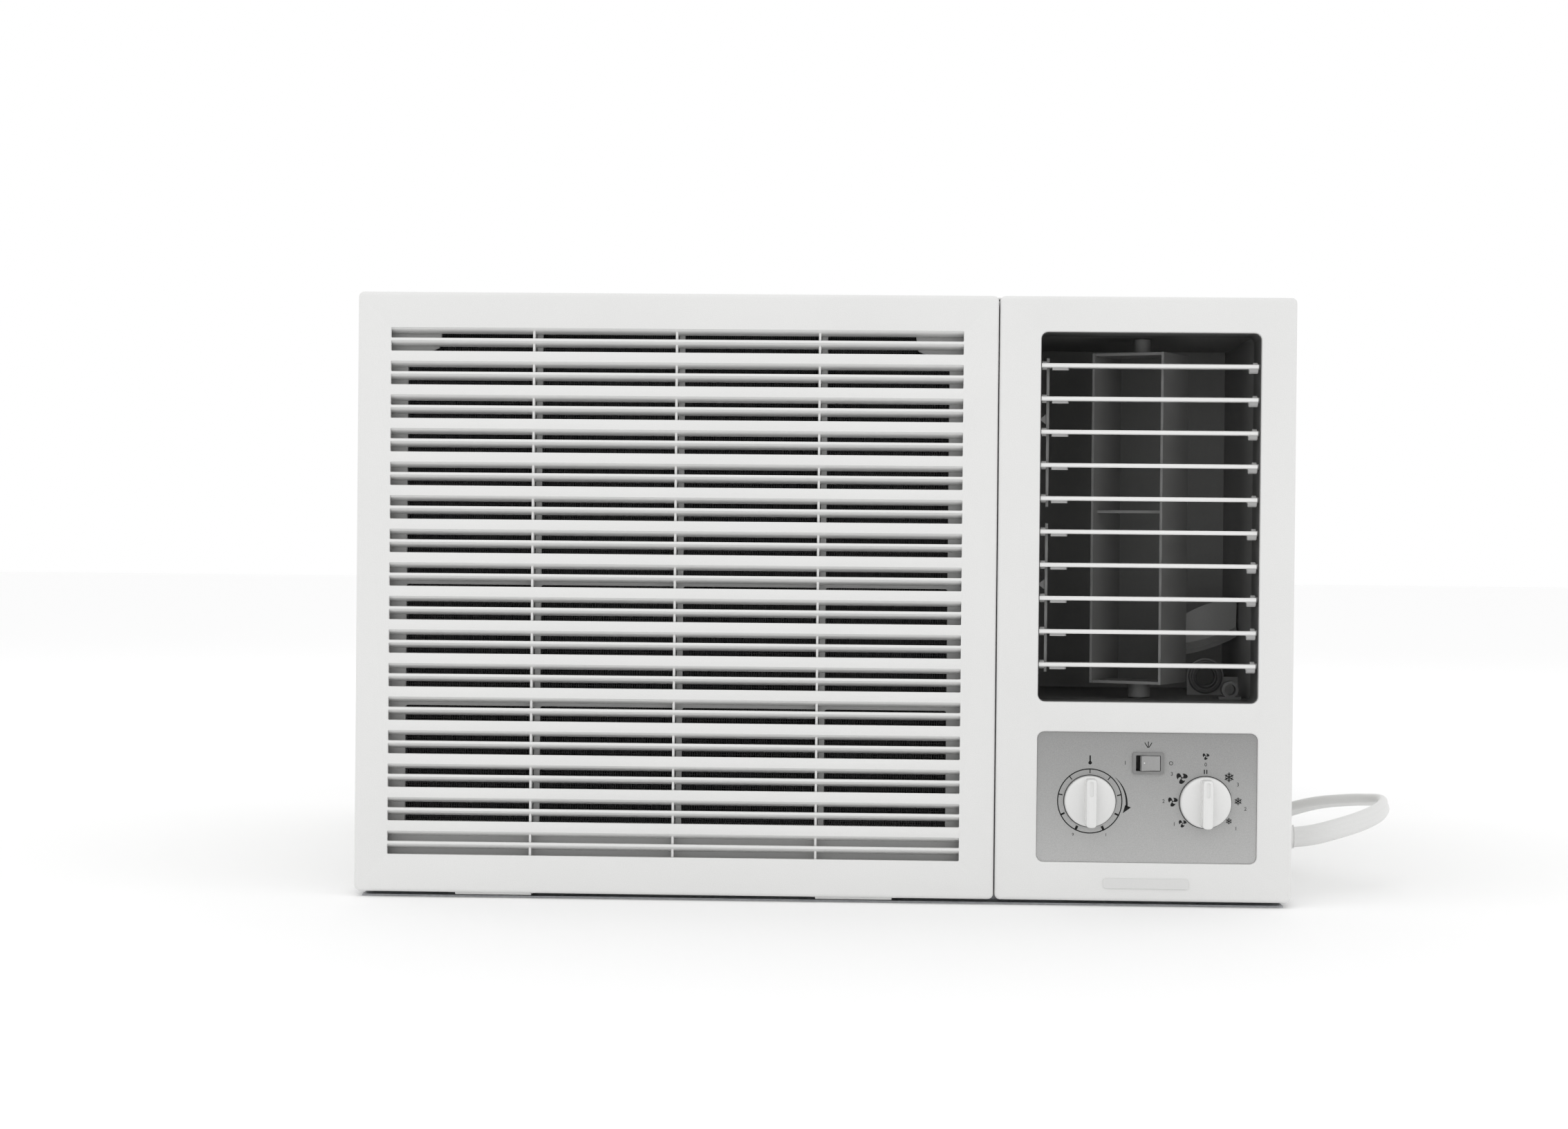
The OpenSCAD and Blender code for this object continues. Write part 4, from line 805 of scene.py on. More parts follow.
front = nodeBox("front_fascia")[0][1]
fascia = {
    "x": (122.5, 330.0),
    "z": (4.0, 428.0),
    "corner": 4.0,
    "soft": 2.4,  # rounding of the outside edges
    "wall": 2.5,
    "depth": 60.0,
    "behindPanel": 18.5,  # depth at which the frame behind the panel starts
    "tunnel": 40.0,
    "openingSoft": 1.1,
    "openingCorner": 5.0,
    "outletX": (151.5, 305.5),
    "outletZ": (143.5, 403.0),
    "plateZ": (31.0, 122.5),
    "plateRecess": 2.4,
    "dialX": (188.7, 269.5),
    "dialZ": 74.0,
    "dialHole": 5.6,
    "switchHoleX": (219.6, 239.0),
    "switchHoleZ": (94.4, 107.6),
    "windowX": (-310.0, 102.5),
    "windowZ": (32.0, 408.0),
    "latchX": (-296.0, 87.7),
    "hingeX": (-231.65, 23.35),
    "hingeBack": 6.0,
    "hingeZ": 5.0,
}


def makeFasciaFace():
    f = fascia
    shape = bmesh.new()
    wall = f["wall"]
    x, z = f["x"], f["z"]
    outside = outerEdge(shape, x, z, f["corner"], f["soft"], front, front + f["behindPanel"])
    inside = [rectRing(shape, x, z, f["corner"], -wall, y) for y in (front + f["behindPanel"], front + wall)]
    bridgeAll(shape, [outside[-1], *inside])
    soft, corner = f["openingSoft"], f["openingCorner"]
    outlet = innerEdge(shape, f["outletX"], f["outletZ"], corner, soft, front, front + f["tunnel"])
    outletBack = [rectRing(shape, f["outletX"], f["outletZ"], corner, wall, y)
                  for y in (front + f["tunnel"], front + wall)]
    bridgeAll(shape, [outlet[-1], *outletBack])
    pocket = innerEdge(shape, f["outletX"], f["plateZ"], corner, soft, front, front + f["plateRecess"])
    pocketBack = [rectRing(shape, f["outletX"], f["plateZ"], corner, wall, y)
                  for y in (front + f["plateRecess"] + wall, front + wall)]
    bridge(shape, pocketBack[0], pocketBack[1])
    floor, floorBack = [], []
    floorY = front + f["plateRecess"]
    for dialX in f["dialX"]:
        centre = (dialX, f["dialZ"])
        near = [shape.verts.new(p) for p in circleAt("y", floorY, centre, f["dialHole"], 24)]
        far = [shape.verts.new(p) for p in circleAt("y", floorY + wall, centre, f["dialHole"], 24)]
        bridge(shape, near, far)
        floor.append(near)
        floorBack.append(far)
    switchHole = roundRect(f["switchHoleX"], f["switchHoleZ"], 0.5, 2)
    near = [shape.verts.new((px, floorY, pz)) for px, pz in switchHole]
    far = [shape.verts.new((px, floorY + wall, pz)) for px, pz in switchHole]
    bridge(shape, near, far)
    fillLoops(shape, [pocket[-1], *floor, near])
    fillLoops(shape, [pocketBack[0], *floorBack, far])
    fillLoops(shape, [outside[0], outlet[0], pocket[0]])
    fillLoops(shape, [inside[-1], outletBack[-1], pocketBack[-1]])
    settle(shape, "fasciaFace", "case", "white_abs", smooth=30, replaced=("front_fascia",))


def makeFasciaBand():
    # the sides and the top behind the face, open underneath, with a rounded rear edge
    f = fascia
    shape = bmesh.new()
    wall = f["wall"]
    rows = []
    half, top = f["x"][1], f["z"][1]
    y0, y1 = front + f["behindPanel"], front + f["depth"]
    for grow, y in ((0, y0), (0, y1 - 0.9), (-0.25, y1 - 0.3), (-0.8, y1), (-wall + 0.3, y1),
                    (-wall, y1 - 0.3), (-wall, y0)):
        outline = roundRect((-half - grow, half + grow), (-20, top + grow), max(f["corner"] + grow, 0.5), 6)
        loop = [p for p in outline if p[1] > 0]
        loop = [(loop[0][0], 6.8), *loop, (loop[-1][0], 6.8)]
        rows.append([shape.verts.new((px, y, pz)) for px, pz in loop])
    rows.append(rows[0])
    for near, far in zip(rows, rows[1:]):
        for i in range(len(near) - 1):
            shape.faces.new((near[i], near[i + 1], far[i + 1], far[i]))
    shape.faces.new([row[0] for row in rows[:-1]])
    shape.faces.new([row[-1] for row in rows[:-1]])
    settle(shape, "fasciaBand", "case", "white_abs", smooth=30)


def makeInnerFrame():
    # plate behind the intake panel, with its window, latch pockets and the two hinge knuckles
    f = fascia
    shape = bmesh.new()
    y0 = front + f["behindPanel"]
    latches = [[(cx - 7, 413), (cx + 7, 413), (cx + 7, 421), (cx - 7, 421)] for cx in f["latchX"]]
    addPrism(shape, "y", [(-329, 5), (125, 5), (125, 427), (-329, 427)], (y0, y0 + 2.5),
             [roundRect(f["windowX"], f["windowZ"], 3, 4), *latches])
    for cx in f["hingeX"]:
        addTurned(shape, "x", (front + f["hingeBack"], f["hingeZ"]),
                  [(cx - 27, 2.7), (cx - 26.6, 3), (cx + 26.6, 3), (cx + 27, 2.7)], 28, hole=1.6)
        addBlock(shape, (cx - 27, cx + 27), (front + 6.5, y0 + 2.5), (2, 3.6))
        addBlock(shape, (cx - 27, cx + 27), (y0, y0 + 2.5), (2, 8.5))
    settle(shape, "innerFrame", "case", "white_abs", bevel=0.25)


makeFasciaFace()
makeFasciaBand()
makeInnerFrame()
print("front moulding made")


# intake panel

panel = {
    "x": (-330.0, 121.7),
    "z": (4.0, 428.0),
    "depth": 18.0,
    "wall": 2.5,
    "soft": 2.4,
    "slotX": (-306.5, 97.2),
    "slotTop": 402.75,
    "pairStep": 23.72,
    "slotStep": 9.2,
    "slotHigh": 7.2,
    "pairs": 16,
    "slotSoft": 0.45,
    "slatDeep": 10.0,
    "slatCover": 0.86,
    "ribX": (-206.825, -105.9, -4.975),
}


def makePanelFace():
    p = panel
    shape = bmesh.new()
    wall = p["wall"]
    outside = outerEdge(shape, p["x"], p["z"], 4, p["soft"], front, front + p["depth"])
    inside = [rectRing(shape, p["x"], p["z"], 4, -wall, y) for y in (front + p["depth"], front + wall)]
    bridgeAll(shape, [outside[-1], *inside])
    frontLoops, backLoops = [outside[0]], [inside[-1]]
    for i in range(p["pairs"]):
        for j in (0, 1):
            top = p["slotTop"] - i * p["pairStep"] - j * p["slotStep"]
            rows = innerEdge(shape, p["slotX"], (top - p["slotHigh"], top), 0.6, p["slotSoft"], front,
                             front + wall, steps=2, angles=quarter[::2] + quarter[-1:])
            frontLoops.append(rows[0])
            backLoops.append(rows[-1])
    fillLoops(shape, frontLoops)
    fillLoops(shape, backLoops)
    face = settle(shape, "panelFace", "panel", "white_abs", smooth=30, replaced=("intake_panel",))
    cutBy(face, [((-315.6, 107.3), (-331.1, -324.9), (424, 430)),
                 ((-259.3, -204.0), (-338.9, -322), (2, 8.6)),
                 ((-4.3, 51.0), (-338.9, -322), (2, 8.6))])
    face.data.shade_smooth()
    face.data.set_sharp_from_angle(angle=math.radians(30))


def makeSlats():
    p = panel
    slat = bmesh.new()
    k = p["slatCover"]
    under = [(0.8, 0.0), (1.3, -0.6), (2.1, -1.3), (3.3, -2.0), (4.9, -2.7), (6.7, -3.35), (8.3, -3.95),
             (9.7, -4.4)]
    over = [(10.0, -4.1), (9.9, -3.5), (8.2, -2.6), (6.3, -1.6), (4.4, -0.4), (2.4, 1.0), (0.8, 1.9)]
    outline = [(front + y, z * k if z < 0 else z) for y, z in under + over]
    x0, x1 = p["slotX"][0] - 1, p["slotX"][1] + 1
    addPrism(slat, "x", outline, (x0, x1))
    repeated("panelSlats", "panel", "white_abs", sample(slat, "slat"), (0, 0, p["slotTop"]), p["pairs"],
             (0, 0, -p["pairStep"]), 2, (0, 0, -p["slotStep"]), smooth=40)


def makePanelBack():
    p = panel
    shape = bmesh.new()
    for x in p["ribX"]:
        addBlock(shape, (x + 0.4, x + 2.1), (front + 3.2, front + p["slatDeep"] - 0.2), (29.6, 403.6))
    # filter channels and the pads and hooks of the two latches
    for x in ((-328, -309), (100.7, 119.5)):
        addBlock(shape, x, (front + 16.5, front + 18), (6.2, 425.8))
    for cx in fascia["latchX"]:
        addBlock(shape, (cx - 8, cx + 8), (front + 16.5, front + 18), (412, 425.8))
        addBlock(shape, (cx - 5, cx + 5), (front + 17.9, front + 24), (415, 418))
    for cx in fascia["hingeX"]:
        addTurned(shape, "x", (front + fascia["hingeBack"], fascia["hingeZ"]),
                  [(cx - 30.5, 1.5), (cx + 30.5, 1.5)], 20)
        for side in (-1, 1):
            lug = cx + side * 29.1
            addBlock(shape, (lug - 1.5, lug + 1.5), (front + 1, front + 8.4), (4.1, 10))
    settle(shape, "panelBack", "panel", "white_abs", bevel=0.3)


makePanelFace()
makeSlats()
makePanelBack()
print("intake panel made")


# air filter

airFilter = {
    "x": (-315.0, 106.7),
    "y": (-330.5, -326.3),
    "z": (6.8, 425.0),
    "windowX": (-296.0, 87.7),
    "windowZ": (51.8, 411.0),
    "barZ": (137.0, 223.0),
    "barWide": 4.2,
    "threadPitch": 1.6,
    "threadRadius": 0.2,
}


def makeFilterFrame():
    f = airFilter
    columns = []
    left = f["windowX"][0]
    for rib in panel["ribX"]:
        columns.append((left, rib + 2.5))
        left = rib + 2.5 + f["barWide"]
    columns.append((left, f["windowX"][1]))
    rows = [(f["windowZ"][0], f["barZ"][0] - 1.5), (f["barZ"][0] + 1.5, f["barZ"][1] - 1.5),
            (f["barZ"][1] + 1.5, f["windowZ"][1])]
    holes = []
    for i, x in enumerate(columns):
        for j, z in enumerate(rows):
            hole = roundRect(x, z, 1.5, 3)
            if j == 2 and i in (0, 3):
                # corner plate with a slanting lower edge
                side = x[0] if i == 0 else x[1]
                s = 1 if i == 0 else -1
                plain = [(x[1], z[0]), (x[1], z[1]), (x[0], z[1]), (x[0], z[0])]
                corner = (side, z[1])
                at = min(range(4), key=lambda k: abs(plain[k][0] - corner[0]) + abs(plain[k][1] - corner[1]))
                slant = [(side, z[1] - 32), (side + s * 22, z[1] - 22), (side + s * 26, z[1])]
                slant = slant[::-1] if i == 0 else slant
                hole = plain[:at] + slant + plain[at + 1:]
            holes.append(hole)
    shape = bmesh.new()
    addPrism(shape, "y", roundRect(f["x"], f["z"], 3, 4), f["y"], holes)
    for cx in (-232, 24):
        addBlock(shape, (cx - 16, cx + 16), (f["y"][0] - 0.3, f["y"][0] + 0.5), (414, 422))
    settle(shape, "filterFrame", "filter", "filter_grey", bevel=0.45, replaced=("filter_frame",))


def makeFilterNet():
    f = airFilter
    pitch, r = f["threadPitch"], f["threadRadius"]
    x0, x1, z0, z1 = -311.0, 102.7, 36.8, 421.0
    y = f["y"][1] + 0.25
    wires("filterThreadsUp", "filter", "filter_net", (x0, y, z0), (0, 0, z1 - z0),
          int((x1 - x0) / pitch) + 1, (pitch, 0, 0), r, 4, replaced=("filter_mesh",))
    wires("filterThreadsAcross", "filter", "filter_net", (x0, y + 0.3, z0), (x1 - x0, 0, 0),
          int((z1 - z0) / pitch) + 1, (0, 0, pitch), r, 4)


makeFilterFrame()
makeFilterNet()
print("air filter made")


# control plate, its print, and the badge

controls = {
    "plateX": (151.7, 305.3),
    "plateZ": (31.2, 122.3),
    "plateBack": fascia["plateRecess"],
    "plateThick": 0.8,
    "plateHole": 5.8,
    "switchHoleX": (219.4, 239.2),
    "switchHoleZ": (94.2, 107.8),
    "knobZ": fascia["dialZ"],
    "thermostatX": fascia["dialX"][0],
    "selectorX": fascia["dialX"][1],
    "knobRadius": 17.8,
    "switchX": 229.3,
    "switchZ": 101.0,
    "switchW": 21.8,
    "switchH": 15.0,
    "scaleRadius": 22.5,
    "line": 0.75,
}
plateFace = front + controls["plateBack"] - controls["plateThick"]
inkY = (plateFace - 0.06, plateFace + 0.1)


def makePlate():
    c = controls
    shape = bmesh.new()
    turns = [2 * math.pi * i / 32 for i in range(32)]
    holes = [[(x + c["plateHole"] * math.cos(a), c["knobZ"] + c["plateHole"] * math.sin(a)) for a in turns]
             for x in (c["thermostatX"], c["selectorX"])]
    holes.append(roundRect(c["switchHoleX"], c["switchHoleZ"], 0.5, 2))
    addPrism(shape, "y", roundRect(c["plateX"], c["plateZ"], 4.8, 8),
             (plateFace, plateFace + c["plateThick"] - 0.02), holes)
    settle(shape, "controlPlate", "case", "silver_plate", bevel=0.18, replaced=("control_plate",))


def ringInk(shape, centre, inner, outer, start=0.0, end=360.0, steps=96):
    # flat ring or arc of ink; a taper may come from functions of the way along it
    innerAt = inner if callable(inner) else lambda t: inner
    outerAt = outer if callable(outer) else lambda t: outer
    whole = abs(end - start) >= 360
    rows = []
    for i in range(steps + (0 if whole else 1)):
        t = i / steps
        a = math.radians(start + (end - start) * t)
        sides = ((innerAt(t), inkY[0]), (outerAt(t), inkY[0]), (outerAt(t), inkY[1]), (innerAt(t), inkY[1]))
        row = [(centre[0] + r * math.sin(a), y, centre[1] + r * math.cos(a)) for r, y in sides]
        rows.append([shape.verts.new(p) for p in row])
    if whole:
        rows.append(rows[0])
    for near, far in zip(rows, rows[1:]):
        for k in range(4):
            shape.faces.new((near[k], near[(k + 1) % 4], far[(k + 1) % 4], far[k]))
    if not whole:
        shape.faces.new(rows[0])
        shape.faces.new(rows[-1][::-1])


def inkShape(shape, outline, centre=(0, 0), turn=0.0, size=1.0):
    a = math.radians(turn)
    placed = [(centre[0] + size * (x * math.cos(a) + z * math.sin(a)),
               centre[1] + size * (z * math.cos(a) - x * math.sin(a)))
              for x, z in outline]
    addPrism(shape, "y", placed, inkY)


def bar(width, low, high):
    return [(-width / 2, low), (width / 2, low), (width / 2, high), (-width / 2, high)]


def inkFan(shape, centre, size):
    blade = [(0.1, 0.0), (0.34, 0.06), (0.5, 0.18), (0.52, 0.34), (0.38, 0.47), (0.14, 0.5), (-0.1, 0.42),
             (0.06, 0.32), (0.1, 0.2)]
    for turn in (0, 120, 240):
        inkShape(shape, blade, centre, turn + 20, size)
    ringInk(shape, centre, 0.001, size * 0.09, steps=16)


def inkSnow(shape, centre, size):
    line = 0.11
    for turn in range(0, 360, 60):
        inkShape(shape, bar(line, 0.02, 0.5), centre, turn, size)
        for side in (-1, 1):
            tip = [(0, 0.26), (side * 0.15, 0.4), (side * 0.15 + side * 0.04, 0.35), (side * 0.04, 0.2)]
            inkShape(shape, tip if side < 0 else tip[::-1], centre, turn, size)


def inkText(shape, words, centre, size):
    data = bpy.data.curves.new("dialMark", "FONT")
    data.body = words
    data.size = size
    data.align_x = "CENTER"
    data.align_y = "CENTER"
    data.extrude = 0.08
    holder = bpy.data.objects.new("dialMark", data)
    bpy.context.collection.objects.link(holder)
    bpy.context.view_layer.update()
    mesh = bpy.data.meshes.new_from_object(holder.evaluated_get(bpy.context.evaluated_depsgraph_get()))
    bpy.data.objects.remove(holder)
    upright = Matrix.Rotation(math.radians(90), 4, "X")
    mesh.transform(Matrix.Translation((centre[0], plateFace + 0.02, centre[1])) @ upright)
    shape.from_mesh(mesh)


def makePrint():
    c = controls
    shape = bmesh.new()
    z = c["knobZ"]
    dial = (c["thermostatX"], z)
    half = c["line"] / 2
    ringInk(shape, dial, c["scaleRadius"] - half, c["scaleRadius"] + half)
    for x in (c["thermostatX"], c["selectorX"]):
        ringInk(shape, (x, z), c["knobRadius"] + 0.3, c["knobRadius"] + 0.75)
    for turn, heavy in ((0, 0.6), (40, 0.65), (78, 0.8), (116, 1.25), (154, 1.7)):
        for side in (-1, 1):
            inkShape(shape, bar(heavy, c["scaleRadius"] - 3, c["scaleRadius"]), dial, side * turn)
    # tapered arrow towards the cold end
    reach = c["scaleRadius"]
    ringInk(shape, dial, lambda t: reach + 1.7 + 1.2 * t, lambda t: reach + 1.9 + 3.0 * t - 0.6 * t * t, 47,
            98.5, 30)
    inkShape(shape, [(24.8, -2.6), (28.9, -4.2), (23.2, -8.3)], dial)
    ring = c["selectorX"]
    for offset, size in (((-16.6, 17.0), 7), ((-22.8, 0.4), 6), ((-15.8, -14.9), 4.8)):
        inkFan(shape, (ring + offset[0], z + offset[1]), size)
    for offset, size in (((16.4, 17.8), 6.8), ((22.9, 1.0), 5.4), ((16.6, -13.0), 4.4)):
        inkSnow(shape, (ring + offset[0], z + offset[1]), size)
    for side in (-0.85, 0.85):
        inkShape(shape, bar(0.75, 0, 3), (ring + side, z + 19.9))
    # numbers by the stops, and signs in place of words
    inkText(shape, "0", (ring, z + 26.4), 3.6)
    for number, x, height in (("3", -23.6, 19.6), ("2", -29.2, 0.4), ("1", -21.6, -15.6)):
        inkText(shape, number, (ring + x, z + height), 3.6)
    for number, x, height in (("3", 22.6, 12.6), ("2", 28.0, -4.4), ("1", 21.6, -18.2)):
        inkText(shape, number, (ring + x, z + height), 3.6)
    inkText(shape, "I", (c["switchX"] - 16, c["switchZ"]), 3.8)
    inkText(shape, "O", (c["switchX"] + 16, c["switchZ"]), 3.8)
    # thermometer sign over the dial
    inkShape(shape, bar(1.0, 0, 4.6), (dial[0], z + 27.4))
    ringInk(shape, (dial[0], z + 26.9), 0.001, 1.25, steps=20)
    # swinging-vane sign over the rocker
    for turn in (-32, 0, 32):
        inkShape(shape, bar(0.55, 0.6, 4.8), (c["switchX"], c["switchZ"] + 10.4), turn)
    inkFan(shape, (ring, z + 32.4), 4.2)
    for number, turn in (("1", 154), ("9", -154)):
        a = math.radians(turn)
        inkText(shape, number, (dial[0] + 26.4 * math.sin(a), z + 26.4 * math.cos(a)), 3.0)
    settle(shape, "platePrint", "case", "silver_plate", material=printBlack)


def makeBadge():
    lowest, highest = nodeBox("nameplate")
    shape = bmesh.new()
    addPrism(shape, "y", roundRect((lowest[0], highest[0]), (lowest[2], highest[2]), 2, 6),
             (lowest[1], highest[1] + 0.3))
    settle(shape, "blankBadge", "case", "grey_badge", bevel=0.35, segments=3, replaced=("nameplate",))


# knobs and rocker

knob = {
    "radius": controls["knobRadius"],
    "back": -340.5,
    "barHalf": 3.7,
    "barReach": 16.9,
    "tip": -358.5,
    "stem": 3.0,
}


def makeKnob(name, node, body, x):
    k = knob
    z = controls["knobZ"]
    shape = bmesh.new()
    back = k["back"]
    r = k["radius"]
    addTurned(shape, "y", (x, z), [(back, r - 0.3), (back - 0.3, r), (back - 3.6, r),
                                   (back - 4.4, r - 0.25), (back - 5.0, r - 0.9),
                                   (back - 5.5, r - 2.2), (back - 6.6, r - 6), (back - 7.4, r - 10),
                                   (back - 7.8, r - 14), (back - 7.9, 1)], 72)
    # grip bar, drawn in a few slices so that it narrows and rounds towards its front
    rows = []
    for y, grow in ((back - 3.5, 0.7), (back - 9, 0.25), (k["tip"] + 1.2, 0.0), (k["tip"] + 0.35, -0.35),
                    (k["tip"], -1.1)):
        outline = roundRect((x - k["barHalf"] - grow, x + k["barHalf"] + grow),
                            (z - k["barReach"] - 0.2, z + k["barReach"] - 0.3 + min(grow, 0)), 2.2, 6)
        rows.append([(px, y, pz) for px, pz in outline])
    # sunken pointer near the top of the bar
    mark = roundRect((x - 1.2, x + 1.2), (z + 4.5, z + 15), 1.15, 5)
    rim = [(px, k["tip"], pz) for px, pz in mark]
    deep = [(px, k["tip"] + 0.6, pz) for px, pz in mark]
    made = addRings(shape, rows, closeStart=True, closeEnd=False)
    near = [shape.verts.new(p) for p in rim]
    far = [shape.verts.new(p) for p in deep]
    bridge(shape, near, far)
    shape.faces.new(far)
    fillLoops(shape, [made[-1], near])
    addTurned(shape, "y", (x, z), [(back + 20, k["stem"]), (back - 2, k["stem"])], 24)
    settle(shape, name, body, "knob_white", smooth=32, replaced=(node,))


rocker = {
    "pivotY": -334.9,
    "half": 6.7,
    "reach": 5.25,
    "tilt": 12.0,
}


def makeRocker():
    c = controls
    shape = bmesh.new()
    half = rocker["half"]
    low, high = c["switchZ"] - rocker["reach"], c["switchZ"] + rocker["reach"]
    outline = [(-half, -8.2), (-half * 0.5, -6.9), (0, -6.3), (half * 0.5, -6.9), (half, -8.2), (half, -4),
               (3, 4), (-3, 4), (-half, -4)]
    pivot = Matrix.Translation((c["switchX"], rocker["pivotY"], 0))
    turn = pivot @ Matrix.Rotation(math.radians(rocker["tilt"]), 4, "Z")
    addPrism(shape, "z", outline, (low, high))
    addTurned(shape, "z", (0, 0), [(low - 0.9, 1.2), (high + 0.9, 1.2)], 16)
    shape.transform(turn)
    settle(shape, "rockerCap", "rocker", "switch_grey", bevel=0.3, smooth=25, replaced=("swing_rocker",),
           material=rockerLight)
    dot = bmesh.new()
    addTurned(dot, "y", (-4.6, c["switchZ"] + 0.3), [(-7.6, 0.5), (-6.8, 0.5)], 14)
    dot.transform(turn)
    settle(dot, "rockerDot", "rocker", "knob_white")


def makeSwitchFrame():
    c = controls
    shape = bmesh.new()
    x, z = c["switchX"], c["switchZ"]
    w, h = c["switchW"] / 2, c["switchH"] / 2
    hole = roundRect((x - 8.6, x + 8.6), (z - 5.55, z + 5.55), 0.6, 3)
    addPrism(shape, "y", roundRect((x - w, x + w), (z - h, z + h), 1.0, 4), (plateFace - 1.6, plateFace),
             [hole])
    addPrism(shape, "y", roundRect((x - 9.6, x + 9.6), (z - 6.5, z + 6.5), 0.6, 3),
             (plateFace - 0.2, plateFace + 20), [hole])
    addBlock(shape, (x - 9.6, x + 9.6), (plateFace + 19.5, plateFace + 21.9), (z - 6.5, z + 6.5))
    settle(shape, "switchFrame", "case", "switch_grey", bevel=0.35, replaced=("swing_switch",))


makePlate()
makePrint()
makeBadge()
makeKnob("thermostatKnob", "thermostat_knob", "thermostat_dial", controls["thermostatX"])
makeKnob("selectorKnob", "selector_knob", "selector_dial", controls["selectorX"])
makeRocker()
makeSwitchFrame()
print("controls made")


# louvre blades and their links

blades = {
    "count": 10,
    "pivot": (-333.0, 379.6),
    "pitch": 23.344,
    "x": (152.1, 303.5),
    "slot": (155.9, 159.1),
}


def makeBlades():
    b = blades
    y0, z0 = b["pivot"]
    outline = [
        (y0 + 20.2, z0 + 0.8), (y0 + 12, z0 + 0.95), (y0 - 4.4, z0 + 1.5), (y0 - 5.6, z0 + 1.5),
        (y0 - 6.5, z0 + 1.2), (y0 - 6.95, z0 + 0.5), (y0 - 6.75, z0 + 0.05), (y0 - 6.95, z0 - 0.4),
        (y0 - 6.6, z0 - 1.15), (y0 - 5.7, z0 - 1.5), (y0 - 4.4, z0 - 1.5), (y0 + 12, z0 - 0.95),
        (y0 + 20.2, z0 - 0.8), (y0 + 20.75, z0 - 0.55), (y0 + 21, z0), (y0 + 20.75, z0 + 0.55)]
    shape = bmesh.new()
    addPrism(shape, "x", outline, b["x"])
    first = settle(shape, "louvreBlade1", "blade_1", "blade_white", smooth=40, replaced=("louver_blade_1",))
    cutBy(first, [(b["slot"], (y0 + 7.5, y0 + 22), (z0 - 3, z0 + 3)),
                  ((b["x"][0] - 1, b["slot"][0] + 0.1), (y0 + 15.4, y0 + 22), (z0 - 3, z0 + 3))])
    edge = first.modifiers.new("edgeRound", "BEVEL")
    edge.width = 0.25 * mm
    edge.segments = 2
    edge.limit_method = "ANGLE"
    edge.angle_limit = math.radians(60)
    bakeModifiers(first)
    first.data.set_sharp_from_angle(angle=math.radians(40))
    shape = bmesh.new()
    # pivot boss at the right, stepped hubs and pins, and the tongue beside the link, in the blade white
    # darkened as painted shade
    addTurned(shape, "x", (y0 - 3.6, z0 - 2.3), [(297, 2.2), (297.4, 2.6), (303, 2.6), (303.4, 2.2)], 20)
    addBlock(shape, (296.6, 303.4), (y0 - 6.3, y0 - 1), (z0 - 2.2, z0 - 0.6))
    for start, end, r in ((152.4, 156, 3.0), (300.2, 303.5, 3.2)):
        addTurned(shape, "x", (y0, z0), [(start, r - 0.3), (start + 0.3, r), (end - 0.3, r),
                                         (end, r - 0.3)], 20)
    for start, end in ((149.3, 153.5), (302.5, 307.7)):
        addTurned(shape, "x", (y0, z0), [(start, 1.7), (start + 0.3, 2.0), (end, 2.0)], 20)
    addTurned(shape, "x", (y0 + 12, z0), [(154.9, 1.1), (160.1, 1.1)], 14)
    tongue = [(159.6, y0 - 5.2), (168.6, y0 - 5.2), (170.6, y0 - 4.2), (171.4, y0 - 2), (170.6, y0 + 0.2),
              (168.6, y0 + 1.2), (159.6, y0 + 1.2)]
    addPrism(shape, "z", tongue, (z0 - 3.3, z0 - 1.2))
    ends = settle(shape, "louvreEnds1", "blade_1", "blade_white", bevel=0.2, smooth=40, material=shadedBladeEnd)
    for i in range(1, b["count"]):
        down = Matrix.Translation((0, 0, -b["pitch"] * i * mm))
        for made, label in ((first, "louvreBlade"), (ends, "louvreEnds")):
            mesh = made.data.copy()
            mesh.transform(down)
            body = f"blade_{i + 1}"
            hidden = (f"louver_blade_{i + 1}",) if made is first else ()
            place(mesh, f"{label}{i + 1}", body, "blade_white", bevel=None if made is first else 0.2,
                  smooth=40, replaced=hidden, material=None if made is first else shadedBladeEnd)


def makeLinks():
    b = blades
    y0, z0 = b["pivot"]
    for body, node, low in (("upper_link", "link_bar_upper", 0), ("lower_link", "link_bar_lower", 5)):
        top = z0 - b["pitch"] * low + 6
        bottom = z0 - b["pitch"] * (low + 4) - 6
        shape = bmesh.new()
        addPrism(shape, "x", roundRect((y0 + 10.1, y0 + 13.9), (bottom, top), 1.2, 4), (156.5, 158.5))
        tab = z0 - b["pitch"] * low - 37.35
        grip = [(156.8, tab + 4), (152.9, tab + 0.9), (152.6, tab), (152.9, tab - 0.9), (156.8, tab - 4)]
        addPrism(shape, "y", grip, (y0 + 11, y0 + 13))
        settle(shape, body + "Bar", body, "link_grey", bevel=0.25, replaced=(node,))


makeBlades()
makeLinks()
print("louvre blades made")


# outlet duct and what shows in it


def makeTunnelLining():
    # dark sleeve behind the moulded lip of the outlet
    f = fascia
    shape = bmesh.new()
    y0, y1 = front + 3.4, front + f["tunnel"] - 0.2
    addPrism(shape, "y", roundRect(f["outletX"], f["outletZ"], f["openingCorner"], 6), (y0, y1),
             [roundRect((f["outletX"][0] + 0.45, f["outletX"][1] - 0.45),
                        (f["outletZ"][0] + 0.45, f["outletZ"][1] - 0.45), f["openingCorner"] - 0.45, 6)])
    settle(shape, "outletLining", "case", "duct_black", material=tunnelDark)


